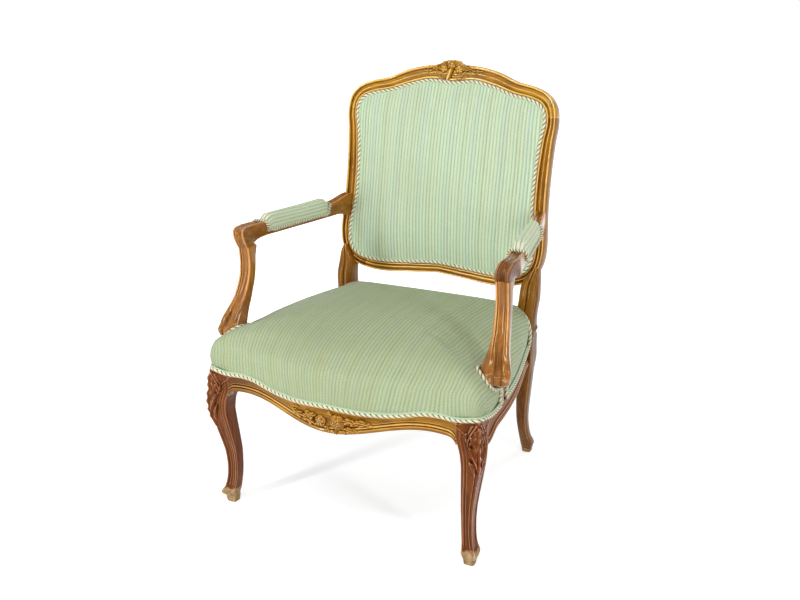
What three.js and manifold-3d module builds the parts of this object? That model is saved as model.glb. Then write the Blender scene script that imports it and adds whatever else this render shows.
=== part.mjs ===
// A carved wood armchair with an open show-wood frame and a sprung, upholstered seat.
// Millimetres, +Z up, +X to the sitter's left and +Y to the back.
// It stands with the middle of its outer box over the origin.

import * as THREE from 'three';
import { mergeVertices } from 'three/addons/utils/BufferGeometryUtils.js';
import Module from 'manifold-3d';

const wasm = await Module();
wasm.setup();

// Driving dimensions
const railTop = 350;
const railHeight = 67;
const railThick = 30;
const trimDrop = 32;
const trimHeight = railTop - trimDrop;
const rebate = 6;
const frontLegX = 301;
const frontLegY = -248;
const legBlock = 50;
const legShoulder = 292;
const kneeThrow = 10.5;
const frontBow = 38;
const frontScallop = 33;
const sideBow = 10;
const rearPostY = 218;
const postWide = 32;
const postDeep = 45;
const rearTuck = 20;
const rearSweep = 73;
const consoleHeight = 162;
const consoleBulge = 8;
const consoleLean = 26;
const consoleGrow = 8;
const backHalf = 263;
const postSetIn = 11;
const rearPostX = backHalf - postSetIn;
const backLow = 474;
const backRise = 472;
const backPlane = 226;
const backHollow = 18;
const backRake = 0.176;
const frameHalf = 14;
const frameDepth = 34;
const ledge = 8;
const ledgeFront = 9;
const ledgeBack = 28;
const armFrontX = 328;
const armFrontY = -118;
const armUnder = 598;
const armThick = 31;
const armTop = armUnder + armThick;
const armJointRise = 24;
const armJointHeight = armUnder + armJointRise;
const armHalf = 18;
const knuckleDrop = 12;
const knuckleUnder = armUnder - knuckleDrop;
const knuckleReach = 30;
const supportFootY = -129;
const supportFootDeep = 34;
const supportFootWide = 22;
const supportHalfWide = 21;
const supportHalfDeep = 31;
const supportSweep = 68;
const padFrontY = -58;
const padBackY = 168;
const padStand = 18;
const padCrown = armTop + padStand;
const seatCrown = 465;
const seatBulge = 12;
const backCrown = 24;
const cordRadius = 4;

// Joints and thin materials
const gap = 0.3;
const seam = 0.15;
const tenonThick = 10;
const tenonHigh = 36;
const tenonLong = 20;
const smallTenon = 9;
const smallTenonLong = 16;
const clothThick = 2;
const hessianThick = 1.5;
const webThick = 2;
const webWide = 50;
const overrun = 40;

const wood = { color: 0xa9672a, roughness: 0.32, metalness: 0 };
const darkWood = { color: 0x7a4119, roughness: 0.35, metalness: 0 };
const rawWood = { color: 0xc49a63, roughness: 0.7, metalness: 0 };
const greenCloth = { color: 0x9fb98c, roughness: 0.9, metalness: 0 };
const creamCord = { color: 0xd9dcb4, roughness: 0.85, metalness: 0 };
const plainCloth = { color: 0xb49b72, roughness: 0.95, metalness: 0 };
const hairPad = { color: 0x6e5a45, roughness: 1, metalness: 0 };
const blackCloth = { color: 0x24221f, roughness: 0.95, metalness: 0 };
const steel = { color: 0x8f8f8c, roughness: 0.4, metalness: 1 };

const chair = new THREE.Group();

// Adds a piece to the chair, freed of edges too short to see
function add(name, look, solid) {
  const mesh = new THREE.Mesh(geometryOf(solid.simplify(seam / 10)), new THREE.MeshStandardMaterial(look));
  mesh.name = name;
  chair.add(mesh);
}

// Solids
function solidOf(geometry) {
  geometry.deleteAttribute('normal');
  geometry.deleteAttribute('uv');
  const merged = mergeVertices(geometry, 1e-3);
  const mesh = new wasm.Mesh({
    numProp: 3,
    vertProperties: new Float32Array(merged.attributes.position.array),
    triVerts: new Uint32Array(merged.index.array),
  });
  const solid = new wasm.Manifold(mesh);
  return solid;
}

function geometryOf(solid) {
  const mesh = solid.getMesh();
  const geometry = new THREE.BufferGeometry();
  const places = new Float32Array(mesh.numVert * 3);
  for (let i = 0; i < mesh.numVert; i += 1) {
    for (let k = 0; k < 3; k += 1) places[3 * i + k] = mesh.vertProperties[mesh.numProp * i + k];
  }
  geometry.setAttribute('position', new THREE.BufferAttribute(places, 3));
  geometry.setIndex(new THREE.BufferAttribute(new Uint32Array(mesh.triVerts), 1));
  geometry.computeVertexNormals();
  return geometry;
}

function middleOf(ring) {
  return ring.reduce((sum, p) => sum.add(p), new THREE.Vector3()).divideScalar(ring.length);
}

// A solid through a row of rings of equal count: a fan closes each end, or the last meets the first
function loft(rings, round = false, tips = []) {
  const count = rings[0].length;
  const places = [];
  const faces = [];
  for (const ring of rings) for (const p of ring) places.push(p.x, p.y, p.z);
  const spans = round ? rings.length : rings.length - 1;
  for (let i = 0; i < spans; i += 1) {
    const a = i * count;
    const b = ((i + 1) % rings.length) * count;
    for (let j = 0; j < count; j += 1) {
      const k = (j + 1) % count;
      faces.push(a + j, a + k, b + k);
      faces.push(a + j, b + k, b + j);
    }
  }
  if (!round) {
    [rings[0], rings[rings.length - 1]].forEach((end, i) => {
      places.push(...(tips[i] ?? middleOf(end)).toArray());
    });
    const first = rings.length * count;
    const top = first - count;
    for (let j = 0; j < count; j += 1) {
      const k = (j + 1) % count;
      faces.push(first, k, j);
      faces.push(first + 1, top + j, top + k);
    }
  }
  let volume = 0;
  const at = (i) => new THREE.Vector3(places[3 * i], places[3 * i + 1], places[3 * i + 2]);
  for (let i = 0; i < faces.length; i += 3) {
    volume += at(faces[i]).dot(at(faces[i + 1]).cross(at(faces[i + 2])));
  }
  if (volume < 0) {
    for (let i = 0; i < faces.length; i += 3) {
      const kept = faces[i];
      faces[i] = faces[i + 1];
      faces[i + 1] = kept;
    }
  }
  const geometry = new THREE.BufferGeometry();
  geometry.setAttribute('position', new THREE.BufferAttribute(new Float32Array(places), 3));
  geometry.setIndex(faces);
  return solidOf(geometry);
}

function block(x0, x1, y0, y1, z0, z1) {
  const box = new THREE.BoxGeometry(x1 - x0, y1 - y0, z1 - z0);
  box.translate((x0 + x1) / 2, (y0 + y1) / 2, (z0 + z1) / 2);
  return solidOf(box);
}

function mirrored(solid) {
  return solid.mirror([1, 0, 0]);
}

// Adds a piece on the sitter's left and its mirror image on the right
function addPair(name, look, solid) {
  add(`${name}_left`, look, solid);
  add(`${name}_right`, look, mirrored(solid));
}

const lerp = (a, b, t) => a + (b - a) * t;

function smooth(low, high, value) {
  const t = Math.min(Math.max((value - low) / (high - low), 0), 1);
  return t * t * (3 - 2 * t);
}

// A rectangle with rounded corners around a middle, in the horizontal plane
function roundedRing(x, y, z, halfX, halfY, cornerShare) {
  const r = Math.min(halfX, halfY) * cornerShare;
  const ring = [];
  const corners = [[1, -1, -90], [1, 1, 0], [-1, 1, 90], [-1, -1, 180]];
  for (const [sx, sy, start] of corners) {
    for (const turn of [0, 45, 90]) {
      const a = THREE.MathUtils.degToRad(start + turn);
      const px = x + sx * (halfX - r) + r * Math.cos(a);
      const py = y + sy * (halfY - r) + r * Math.sin(a);
      ring.push(new THREE.Vector3(px, py, z));
    }
  }
  return ring;
}

// Lines of the seat frame in plan
const blockHalf = legBlock / 2;
const legInner = frontLegX - blockHalf;
const legOuter = frontLegX + blockHalf;
const legRear = frontLegY + blockHalf;
const legFace = frontLegY - blockHalf;
const postInner = rearPostX - postWide / 2;
const postOuter = rearPostX + postWide / 2;
const postFront = rearPostY - postDeep / 2;
const postBack = rearPostY + postDeep / 2;
const railLow = railTop - railHeight;
const bowSpanShare = 0.94;
const innerBowShare = 0.4;
const rearRailSetIn = 7;
const rearRailThick = 26;
const rearFace = postBack - rearRailSetIn;
const cornerRound = 11;

const bowAt = (x) => Math.cos(Math.min(Math.abs(x) / (legInner * bowSpanShare), 1) * Math.PI / 2) ** 2;
const frontFace = (x) => legFace - frontBow * bowAt(x);
const frontInner = (x) => legFace + railThick - innerBowShare * frontBow * bowAt(x);
const sideShare = (y) => Math.min(Math.max((y - legRear) / (postFront - legRear), 0), 1);
const sideLine = (y) => lerp(legOuter, postOuter, sideShare(y));
const sideFace = (y) => sideLine(y) + sideBow * Math.sin(Math.PI * sideShare(y));
const sideInner = (y) => sideLine(y) - railThick;

// The seat's outline, in from the show faces by the rebate, with how far the trim's line rises at each point
const trimRise = 20;
const frontShares = [0, 0.15, 0.3, 0.45, 0.6, 0.75, 0.88, 1];
const frontRiseShares = [0, -0.15, -0.25, -0.2, 0.05, 0.5, 0.55, 0.35];
const cornerRiseShares = [0.7, 0.95, 0.8];
const sideShares = [0, 0.09, 0.16, 0.24, 0.32, 0.44, 0.58, 0.72, 0.86, 1];
const sideRiseShares = [0.25, 0, 0, 0, 0, 0, 0, 0, 0, 0];
const rearShares = [1, 0.66, 0.33, 0];

function seatHalfLoop() {
  const half = [];
  const push = (x, y, rise) => half.push({ x, y, low: trimHeight + rise * trimRise });
  frontShares.forEach((share, i) => {
    const x = share * legInner;
    push(x, frontFace(x) + rebate, frontRiseShares[i]);
  });
  const cornerX = legOuter - rebate - cornerRound;
  const cornerY = legFace + rebate + cornerRound;
  [-90, -45, 0].forEach((turn, i) => {
    const a = THREE.MathUtils.degToRad(turn);
    push(cornerX + cornerRound * Math.cos(a), cornerY + cornerRound * Math.sin(a), cornerRiseShares[i]);
  });
  sideShares.forEach((share, i) => {
    const y = lerp(legRear, postFront, share);
    push(sideFace(y) - rebate, y, sideRiseShares[i]);
  });
  const backX = postOuter - rebate - cornerRound;
  const backY = rearFace - rebate - cornerRound;
  for (const turn of [0, 45, 90]) {
    const a = THREE.MathUtils.degToRad(turn);
    push(backX + cornerRound * Math.cos(a), backY + cornerRound * Math.sin(a), 0);
  }
  for (const share of rearShares) push(share * postInner, rearFace - rebate, 0);
  return half;
}

const seatHalf = seatHalfLoop();
const seatLeftHalf = seatHalf.slice(1, -1).reverse().map((p) => ({ x: -p.x, y: p.y, low: p.low }));
const seatLoop = [...seatHalf, ...seatLeftHalf];
seatLoop.forEach((p, i) => {
  const before = seatLoop[(i + seatLoop.length - 1) % seatLoop.length];
  const after = seatLoop[(i + 1) % seatLoop.length];
  p.out = new THREE.Vector2(after.y - before.y, before.x - after.x).normalize();
});

// A ring round the seat: out from the outline, or shrunk towards the middle, at its own height
const seatMiddleY = (legFace + rearFace) / 2;
function seatRing(out, height, share = 1) {
  return seatLoop.map((p) => {
    const x = (p.x + out * p.out.x) * share;
    const y = seatMiddleY + (p.y + out * p.out.y - seatMiddleY) * share;
    return new THREE.Vector3(x, y, typeof height === 'function' ? height(p) : height);
  });
}

// What the upholstery takes off the outside of the rails and the front legs
function rebateTool(clear) {
  return loft([
    seatRing(clear, (p) => p.low - clear),
    seatRing(overrun, (p) => p.low - clear),
    seatRing(overrun, railTop + overrun),
    seatRing(clear, railTop + overrun),
  ], true);
}

// Front legs: square cabriole legs set on the diagonal, with a carved knee and a scroll toe
const legHeightShares = [
  0, 0.034, 0.07, 0.1, 0.137, 0.178, 0.247, 0.325, 0.428, 0.52, 0.623, 0.726, 0.822, 0.89, 0.952, 1,
];
const legThrowShares = [0, 0, 0.3, 0.15, -0.2, -0.55, -0.86, -0.97, -0.88, -0.5, 0.05, 0.6, 1, 0.93, 0.5, 0];
const legSideShares = [
  0.4, 0.44, 0.55, 0.59, 0.55, 0.5, 0.485, 0.49, 0.53, 0.585, 0.66, 0.73, 0.8, 0.86, 0.94, 1,
];
const legSectionShares = [
  [1, 0], [0.86, 0.09], [0.62, 0.3], [0.2, 0.76], [0.06, 0.93], [-0.08, 0.92], [-0.5, 0.49], [-0.9, 0.08],
];

function legRing(z, out, side) {
  const halfDiagonal = side / Math.SQRT2;
  const mirror = legSectionShares.slice(1).reverse().map(([d, e]) => [d, -e]);
  return [...legSectionShares, ...mirror].map(([d, e]) => {
    const outward = d * halfDiagonal + out;
    const across = e * halfDiagonal;
    const x = frontLegX + (outward + across) / Math.SQRT2;
    const y = frontLegY - (outward - across) / Math.SQRT2;
    return new THREE.Vector3(x, y, z);
  });
}

function frontLegBody() {
  const rings = legHeightShares.map((share, i) => {
    return legRing(share * legShoulder, legThrowShares[i] * kneeThrow, legSideShares[i] * legBlock);
  });
  const head = block(legInner, legOuter, legFace, legRear, legShoulder, railTop);
  return loft(rings).add(head).subtract(rebateTool(0));
}

// Front rail: bowed, with a scalloped lower edge; its inner part stops at the webbing's level
const webStep = 19;
const webLevel = railLow + webStep;
const showLip = 16;
const faceRound = 3;
const beadRise = 12;
const scallopShare = 0.79;
const scallopAt = (x) => Math.sin(Math.min(Math.abs(x) / (legInner * scallopShare), 1.35) * Math.PI / 2) ** 2;
const frontLow = (x) => railLow - webStep + frontScallop * scallopAt(x);

function railSection(face, inner, low, top, place) {
  const web = Math.max(webLevel, low + seam);
  const shape = [
    [0, top], [0, low + 2 * beadRise], [-faceRound, low + 1.4 * beadRise], [faceRound / 2, low + beadRise],
    [faceRound, low + beadRise / 2], [0, low], [-showLip, low], [-showLip - faceRound, web],
    [inner - face, web], [inner - face, top],
  ];
  return shape.map(([out, z]) => place(face + out, z));
}

function frontRailBody(clear) {
  const right = frontShares.slice(1).map((share) => share * (legInner - gap));
  const stations = [...right.slice().reverse().map((x) => -x), 0, ...right];
  const rings = stations.map((x) => {
    const place = (out, z) => new THREE.Vector3(x, -out, z);
    return railSection(-frontFace(x), -frontInner(x), frontLow(x), railTop + clear, place);
  });
  return loft(rings).subtract(rebateTool(clear));
}

// Side rails: swept in to the rear posts
const sideArch = 14;
const archShare = 0.14;
const sideLow = (y) => {
  const t = sideShare(y);
  return railLow - sideArch * (1 - smooth(0, archShare, t)) - sideArch * smooth(1 - archShare, 1, t) / 2;
};

function sideRailBody(clear) {
  const rings = sideShares.map((share) => {
    const y = lerp(legRear + gap, postFront - gap, share);
    const place = (out, z) => new THREE.Vector3(out, y, z);
    return railSection(sideFace(y), sideInner(y) - clear, sideLow(y), railTop + clear, place);
  });
  return loft(rings).subtract(rebateTool(clear));
}

// Tenons of the seat frame
const tenonRaise = 4;
const tenonLow = webLevel + tenonRaise;
const tenonSetIn = 8;
const frontTenonY = legFace + rebate + tenonSetIn + tenonThick / 2;
const sideTenonX = (y) => sideLine(y) - rebate - tenonSetIn - tenonThick / 2;
const rearTenonY = rearFace - rearRailThick / 2;
const rearLow = webLevel;

const frontTenon = (clear) => block(
  legInner - tenonLong / 2, legInner + tenonLong + clear,
  frontTenonY - tenonThick / 2 - clear, frontTenonY + tenonThick / 2 + clear,
  tenonLow - clear, tenonLow + tenonHigh + clear,
);
const sideFrontTenon = (clear) => block(
  sideTenonX(legRear) - tenonThick / 2 - clear, sideTenonX(legRear) + tenonThick / 2 + clear,
  legRear - tenonLong - clear, legRear + tenonLong / 2,
  tenonLow - clear, tenonLow + tenonHigh + clear,
);
const sideRearTenon = (clear) => block(
  sideTenonX(postFront) - tenonThick / 2 - clear, sideTenonX(postFront) + tenonThick / 2 + clear,
  postFront - tenonLong / 2, postFront + tenonLong + clear,
  tenonLow - clear, tenonLow + tenonHigh + clear,
);
const rearTenon = (clear) => block(
  postInner - tenonLong / 2, postInner + tenonLong / 2 + clear,
  rearTenonY - tenonThick / 2 - clear, rearTenonY + tenonThick / 2 + clear,
  tenonLow - clear, tenonLow + tenonHigh + clear,
);

// The back's surface: raked, and hollowed towards the middle
const backAt = (x, z) => backPlane + backRake * (z - backLow) + backHollow * (1 - (x / backHalf) ** 2);
function backFront(x) {
  return new THREE.Vector3(-2 * backHollow * x / backHalf ** 2, -1, backRake).normalize();
}

// The back frame's middle line from the crest to the bottom rail, as shares, with its half width
const frameShares = [
  [0, 1, 1.35], [0.228, 1.003, 1.14], [0.426, 0.981, 1.14], [0.624, 0.943, 1], [0.806, 0.922, 0.96],
  [0.913, 0.898, 0.92], [0.977, 0.856, 0.86], [1, 0.786, 0.78], [0.981, 0.691, 0.89], [0.966, 0.53, 1],
  [0.97, 0.352, 1], [0.992, 0.24, 0.82], [0.998, 0.148, 0.72], [0.977, 0.085, 0.7], [0.928, 0.036, 0.7],
  [0.844, 0.004, 0.72], [0.703, -0.017, 0.76], [0.532, -0.022, 0.79], [0.323, -0.014, 0.77], [0, 0, 0.74],
];
const frameLeftShares = frameShares.slice(1, -1).reverse().map(([x, z, half]) => [-x, z, half]);
const frameLine = new THREE.CatmullRomCurve3([...frameShares, ...frameLeftShares].map(([x, z, half]) => {
  return new THREE.Vector3(x * backHalf, backLow + z * backRise, half * frameHalf);
}), true, 'centripetal');
frameLine.arcLengthDivisions = 1200;

// Stations round the right half, closer together where the line turns
const stationStep = 74;
const stationTurn = THREE.MathUtils.degToRad(28);
const crestJoint = backLow + 0.81 * backRise;
const lowerJointShare = 0.76;
const lowerJoint = lowerJointShare * backHalf;

function frameStations() {
  const fine = 600;
  const stations = [{ u: 0, name: '' }];
  let used = 0;
  let crestDone = false;
  let lowerDone = false;
  let before = frameLine.getPointAt(0);
  let heading = frameLine.getTangentAt(0);
  for (let i = 1; i < fine; i += 1) {
    const u = i / (2 * fine);
    const here = frameLine.getPointAt(u);
    const tangent = frameLine.getTangentAt(u);
    used += here.distanceTo(before) / stationStep + tangent.angleTo(heading) / stationTurn;
    before = here;
    heading = tangent;
    if (!crestDone && here.x > backHalf / 2 && here.y < crestJoint) {
      crestDone = true;
      used = 0;
      stations.push({ u, name: 'crest' });
    } else if (!lowerDone && here.y < backLow + backRise / 4 && here.x < lowerJoint) {
      lowerDone = true;
      used = 0;
      stations.push({ u, name: 'lower' });
    } else if (used > 1) {
      used = 0;
      stations.push({ u, name: '' });
    }
  }
  stations.push({ u: 0.5, name: '' });
  return stations;
}

const rightStations = frameStations();
const crestIndex = rightStations.findIndex((station) => station.name === 'crest');
const lowerIndex = rightStations.findIndex((station) => station.name === 'lower');
const wholeLoop = [
  ...rightStations.map((station) => station.u),
  ...rightStations.slice(1, -1).reverse().map((station) => 1 - station.u),
];

// Where a station stands in space: its middle, its way along, outward and to the front
function frameAt(u) {
  const flat = frameLine.getPointAt(u % 1);
  const along = frameLine.getTangentAt(u % 1);
  const front = backFront(flat.x);
  const middle = new THREE.Vector3(flat.x, backAt(flat.x, flat.y), flat.y);
  const slopeY = -front.x / front.y * along.x - front.z / front.y * along.y;
  const way = new THREE.Vector3(along.x, slopeY, along.y).normalize();
  const out = new THREE.Vector3().crossVectors(way, front).normalize();
  if (out.x * flat.x + out.z * (flat.y - backLow - backRise / 2) < 0) out.negate();
  return { middle, way, out, front, half: flat.z };
}

function placed(at, out, depth) {
  return at.middle.clone().addScaledVector(at.out, out).addScaledVector(at.front, -depth);
}

// The frame's section: share of the half width, extra width, and depth from the front
const beadProud = 1;
const coveDeep = 5;
const frameSide = [
  [-1, 0, 0.6 * coveDeep], [-0.82, 0, -beadProud], [-0.55, 0, coveDeep], [0.35, 0, 0.6 * coveDeep],
  [0.55, 0, coveDeep], [0.78, 0, -beadProud], [1, 0, 0.4 * coveDeep], [1.04, 0, 1.2 * coveDeep],
];

function frameRing(u, slide = 0, clear = 0) {
  const at = frameAt(u);
  at.middle.addScaledVector(at.way, slide);
  const shape = [
    ...frameSide,
    [0.9, 0, 0.6 * frameDepth], [0.6, 0, frameDepth], [-0.7, 0, frameDepth], [-1, 0, ledgeBack],
    [-1, -ledge, ledgeBack], [-1, -ledge, ledgeFront], [-1, 0, ledgeFront],
  ];
  return shape.map(([share, extra, depth]) => {
    const side = Math.sign(share);
    const deeper = depth > frameDepth / 2 ? clear : -clear;
    return placed(at, share * at.half + extra + side * clear, depth + deeper);
  });
}

function framePiece(list) {
  return loft(list.map(({ u, slide }) => frameRing(u, slide)));
}

// A tenon that runs on from a joint of the back frame
function frameTenon(u, sign, clear) {
  const at = frameAt(u);
  const across = smallTenon / 2 + clear;
  const corners = [[-1, -1], [1, -1], [1, 1], [-1, 1]];
  const ring = (slide) => corners.map(([a, b]) => {
    return placed(at, a * across, frameDepth / 2 + b * across).addScaledVector(at.way, slide);
  });
  return loft([ring(-sign * smallTenonLong / 2), ring(sign * (smallTenonLong + clear))]);
}

const crestU = rightStations[crestIndex].u;
const lowerU = rightStations[lowerIndex].u;
const crestEnds = rightStations.slice(0, crestIndex + 1).map((station) => station.u);
const lowerEnds = rightStations.slice(lowerIndex).map((station) => station.u);

function crestRail() {
  const right = crestEnds.slice(1, -1).map((u) => ({ u, slide: 0 }));
  const left = right.slice().reverse().map(({ u }) => ({ u: 1 - u, slide: 0 }));
  const body = framePiece([
    { u: 1 - crestU, slide: seam }, ...left, { u: 0, slide: 0 }, ...right, { u: crestU, slide: -seam },
  ]);
  const mortise = frameTenon(crestU, -1, gap);
  return body.subtract(mortise).subtract(mirrored(mortise));
}

function lowerRail() {
  const right = lowerEnds.slice(1, -1).map((u) => ({ u, slide: 0 }));
  const left = right.slice().reverse().map(({ u }) => ({ u: 1 - u, slide: 0 }));
  const body = framePiece([
    { u: lowerU, slide: seam }, ...right, { u: 0.5, slide: 0 }, ...left, { u: 1 - lowerU, slide: -seam },
  ]);
  const tenon = frameTenon(lowerU, -1, 0);
  return body.add(tenon).add(mirrored(tenon));
}

// Rear posts: sawn in one piece with the leg, the console over the seat and the back's stile
const postHeightShares = [0, 0.034, 0.07, 0.103, 0.145, 0.214, 0.3, 0.4, 0.514, 0.643, 0.786, 0.857, 1];
const postTuckShares = [0.95, 0.95, 0.92, 0.94, 0.97, 1, 0.97, 0.85, 0.62, 0.35, 0.1, 0, 0];
const postSweepShares = [1, 0.98, 0.965, 0.9, 0.78, 0.62, 0.46, 0.33, 0.205, 0.11, 0.04, 0, 0];
const postWideShares = [0.53, 0.66, 0.78, 0.78, 0.74, 0.72, 0.72, 0.78, 0.83, 0.85, 0.93, 1, 1];
const postDeepShares = [0.38, 0.47, 0.62, 0.64, 0.56, 0.53, 0.56, 0.65, 0.76, 0.84, 0.93, 1, 1];
const consoleShares = [
  [0.08, 0, 0, 1, 0], [0.22, 0.25, 0.08, 0.92, 0.4], [0.38, 0.65, 0.17, 0.88, 0.9], [0.56, 1, 0.34, 0.86, 1],
  [0.74, 0.95, 0.6, 0.78, 0.3], [0.9, 0.9, 0.86, 0.6, -0.9], [1, 0.9, 1, 0.36, -1.8],
];
const postRound = 0.5;
const consoleRound = 0.35;

function rearPost() {
  const rings = postHeightShares.map((share, i) => {
    const x = rearPostX - postTuckShares[i] * rearTuck;
    const y = rearPostY + postSweepShares[i] * rearSweep;
    const round = share > 0.8 ? 0 : postRound;
    const halfX = postWideShares[i] * postWide / 2;
    return roundedRing(x, y, share * railTop, halfX, postDeepShares[i] * postDeep / 2, Math.max(round, 0.04));
  });
  for (const [up, bulge, lean, wide, grow] of consoleShares) {
    const halfY = postDeep / 2 + grow * consoleGrow / 2;
    const x = rearPostX + bulge * consoleBulge;
    const y = rearPostY + lean * consoleLean;
    rings.push(roundedRing(x, y, railTop + up * consoleHeight, wide * postWide / 2, halfY, consoleRound));
  }
  const stile = rightStations.slice(crestIndex, lowerIndex + 1).map(({ u, name }) => {
    if (name === 'crest') return { u, slide: seam };
    if (name === 'lower') return { u, slide: -seam };
    return { u, slide: 0 };
  });
  return loft(rings)
    .add(framePiece(stile))
    .add(frameTenon(crestU, -1, 0))
    .subtract(frameTenon(lowerU, -1, gap))
    .subtract(sideRearTenon(gap))
    .subtract(rearTenon(gap));
}

// Arms: from the knuckle over the support back to the stile, sunk along the pad
const armRearU = (() => {
  let best = 0;
  for (let i = 1; i < 400; i += 1) {
    const u = i / 800;
    const here = frameLine.getPointAt(u);
    if (here.x > backHalf / 2 && here.y > armJointHeight) best = u;
  }
  return best;
})();
const armRear = frameAt(armRearU);
const armOut = 2;
const armEnd = placed(armRear, armOut, -beadProud - gap);
const armFlare = 26;
const armRearHalf = 12;
const padSink = 9;
const padLipHigh = 7;
const armPlan = (y) => armEnd.x + (armFrontX - armEnd.x) * (armEnd.y - y) / (armEnd.y - armFrontY);
const knuckleTip = armFrontY - knuckleReach;
// Station: y, half width, under side, top, and whether the pad's bed is cut there
const armStations = [
  [knuckleTip, 0.62 * armHalf, lerp(knuckleUnder, armTop, 0.22), lerp(knuckleUnder, armTop, 0.66), 0],
  [lerp(knuckleTip, armFrontY, 0.25), 0.88 * armHalf, lerp(knuckleUnder, armTop, 0.04),
    lerp(knuckleUnder, armTop, 0.88), 0],
  [lerp(knuckleTip, armFrontY, 0.6), 0.97 * armHalf, knuckleUnder, lerp(knuckleUnder, armTop, 0.98), 0],
  [armFrontY, armHalf, knuckleUnder, armTop, 0],
  [lerp(armFrontY, padFrontY, 0.4), armHalf, knuckleUnder, armTop, 0],
  [lerp(armFrontY, padFrontY, 0.7), armHalf, lerp(knuckleUnder, armUnder, 0.6), armTop, 0],
  [padFrontY, armHalf, armUnder, armTop, 0],
  [padFrontY + seam, armHalf, armUnder, armTop - padSink, 1],
  [lerp(padFrontY, padBackY, 0.33), armHalf, armUnder, armTop - padSink, 1],
  [lerp(padFrontY, padBackY, 0.67), 0.94 * armHalf, armUnder, armTop - padSink, 1],
  [padBackY - seam, 0.86 * armHalf, armUnder, armTop - padSink, 1],
  [padBackY, 0.86 * armHalf, armUnder, armTop, 0],
  [lerp(padBackY, armEnd.y, 0.4), 0.78 * armHalf, armUnder, armTop + 0.4 * armFlare / 2, 0],
  [lerp(padBackY, armEnd.y, 0.75), armRearHalf, armUnder, armTop + 0.8 * armFlare / 2, 0],
];
const bedShare = 0.76;

function armSection(half, low, high, bed) {
  const r = bed ? bedShare : 1;
  const lip = low + padLipHigh;
  const edge = (high - low) / 6;
  return [
    [-0.8 * half, low], [0.8 * half, low], [half, low + edge], [half, lip], [r * half, lip + seam],
    [r * half, high - edge], [0.75 * r * half, high], [-0.75 * r * half, high], [-r * half, high - edge],
    [-r * half, lip + seam], [-half, lip], [-half, low + edge],
  ];
}

function armBody() {
  const rings = armStations.map(([y, half, low, high, bed]) => {
    return armSection(half, low, high, bed).map(([out, z]) => new THREE.Vector3(armPlan(y) + out, y, z));
  });
  const endSection = armSection(armRearHalf, -armFlare, armFlare, 0);
  rings.push(endSection.map(([out, up]) => {
    const spot = armEnd.clone().addScaledVector(armRear.out, out);
    return spot.add(new THREE.Vector3(0, up * -armRear.front.z / armRear.front.y, up));
  }));
  return loft(rings);
}

const armTenonShape = [[-1, -1], [1, -1], [1, 1], [-1, 1]];
function armTenon(clear) {
  const ring = (slide) => armTenonShape.map(([a, b]) => {
    const spot = armEnd.clone().addScaledVector(armRear.front, -slide);
    spot.addScaledVector(armRear.out, a * (smallTenon / 2 + clear));
    return spot.addScaledVector(armRear.way, b * (smallTenon + clear));
  });
  return loft([ring(-smallTenonLong / 2), ring(smallTenonLong + clear)]);
}

// Arm supports: a foot let over the side rail, a broad base over the seat's edge, and a whiplash stem
const supportLow = trimHeight + gap;
const baseRise = 41;
const baseLow = railTop + baseRise;
const stemShares = [0, 0.056, 0.123, 0.2, 0.303, 0.405, 0.508, 0.61, 0.738, 0.867, 1];
const stemXShares = [0, 0.08, 0.4, 0.6, 0.7, 0.6, 0.4, 0.2, 0.05, 0, 0];
const stemYShares = [1, 0.99, 0.9, 0.76, 0.56, 0.36, 0.21, 0.1, 0.02, 0, 0];
const stemWideShares = [1, 1, 0.94, 0.86, 0.76, 0.68, 0.63, 0.6, 0.6, 0.65, 0.72];
const stemDeepShares = [1, 1, 0.93, 0.78, 0.6, 0.48, 0.41, 0.37, 0.37, 0.42, 0.52];
const supportSetIn = 14;
const supportX = armFrontX - supportSetIn;
const supportBow = 9;
const supportTopY = armFrontY;
const neckRise = 22;
const neckTop = railTop + neckRise;
const neckGrow = 4;

function supportRing(z, x, y, halfX, halfY) {
  const shape = [
    [-1, -0.55], [-0.75, -0.92], [-0.28, -1], [0, -0.86], [0.28, -1], [0.75, -0.92], [1, -0.55],
    [1, 0.6], [0.7, 1], [-0.7, 1], [-1, 0.6],
  ];
  return shape.map(([a, b]) => new THREE.Vector3(x + a * halfX, y + b * halfY, z));
}

function supportRings(clear) {
  const footFace = sideFace(supportFootY);
  const footX = footFace - supportFootWide / 2;
  const halfFoot = supportFootDeep / 2;
  const halfNeck = halfFoot + neckGrow;
  const rings = [
    supportRing(supportLow - clear, footX, supportFootY, supportFootWide / 2 + clear, halfFoot + clear),
    supportRing(neckTop, footX, supportFootY - neckGrow, supportFootWide / 2 + clear, halfNeck + clear),
  ];
  stemShares.forEach((share, i) => {
    const z = lerp(baseLow, knuckleUnder - gap, share);
    const x = supportX + stemXShares[i] * supportBow;
    const y = supportTopY - stemYShares[i] * supportSweep;
    const halfX = stemWideShares[i] * supportHalfWide + clear;
    rings.push(supportRing(z, x, y, halfX, stemDeepShares[i] * supportHalfDeep + clear));
  });
  return rings;
}

const supportRoom = (clear) => loft(supportRings(clear));
const footTenon = (clear) => {
  const x = sideFace(supportFootY) - rebate - smallTenon;
  return block(
    x - smallTenon / 2 - clear, x + smallTenon / 2 + clear,
    supportFootY - smallTenon - clear, supportFootY + smallTenon + clear,
    railTop - tenonLong - clear, railTop + tenonLong,
  );
};
const topTenon = (clear) => block(
  supportX - smallTenon / 2 - clear, supportX + smallTenon / 2 + clear,
  supportTopY - smallTenon - clear, supportTopY + smallTenon + clear,
  knuckleUnder - tenonLong, knuckleUnder + tenonLong + clear,
);

function armSupport() {
  return loft(supportRings(0)).subtract(sideRailBody(gap)).add(footTenon(0)).add(topTenon(0));
}

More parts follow.
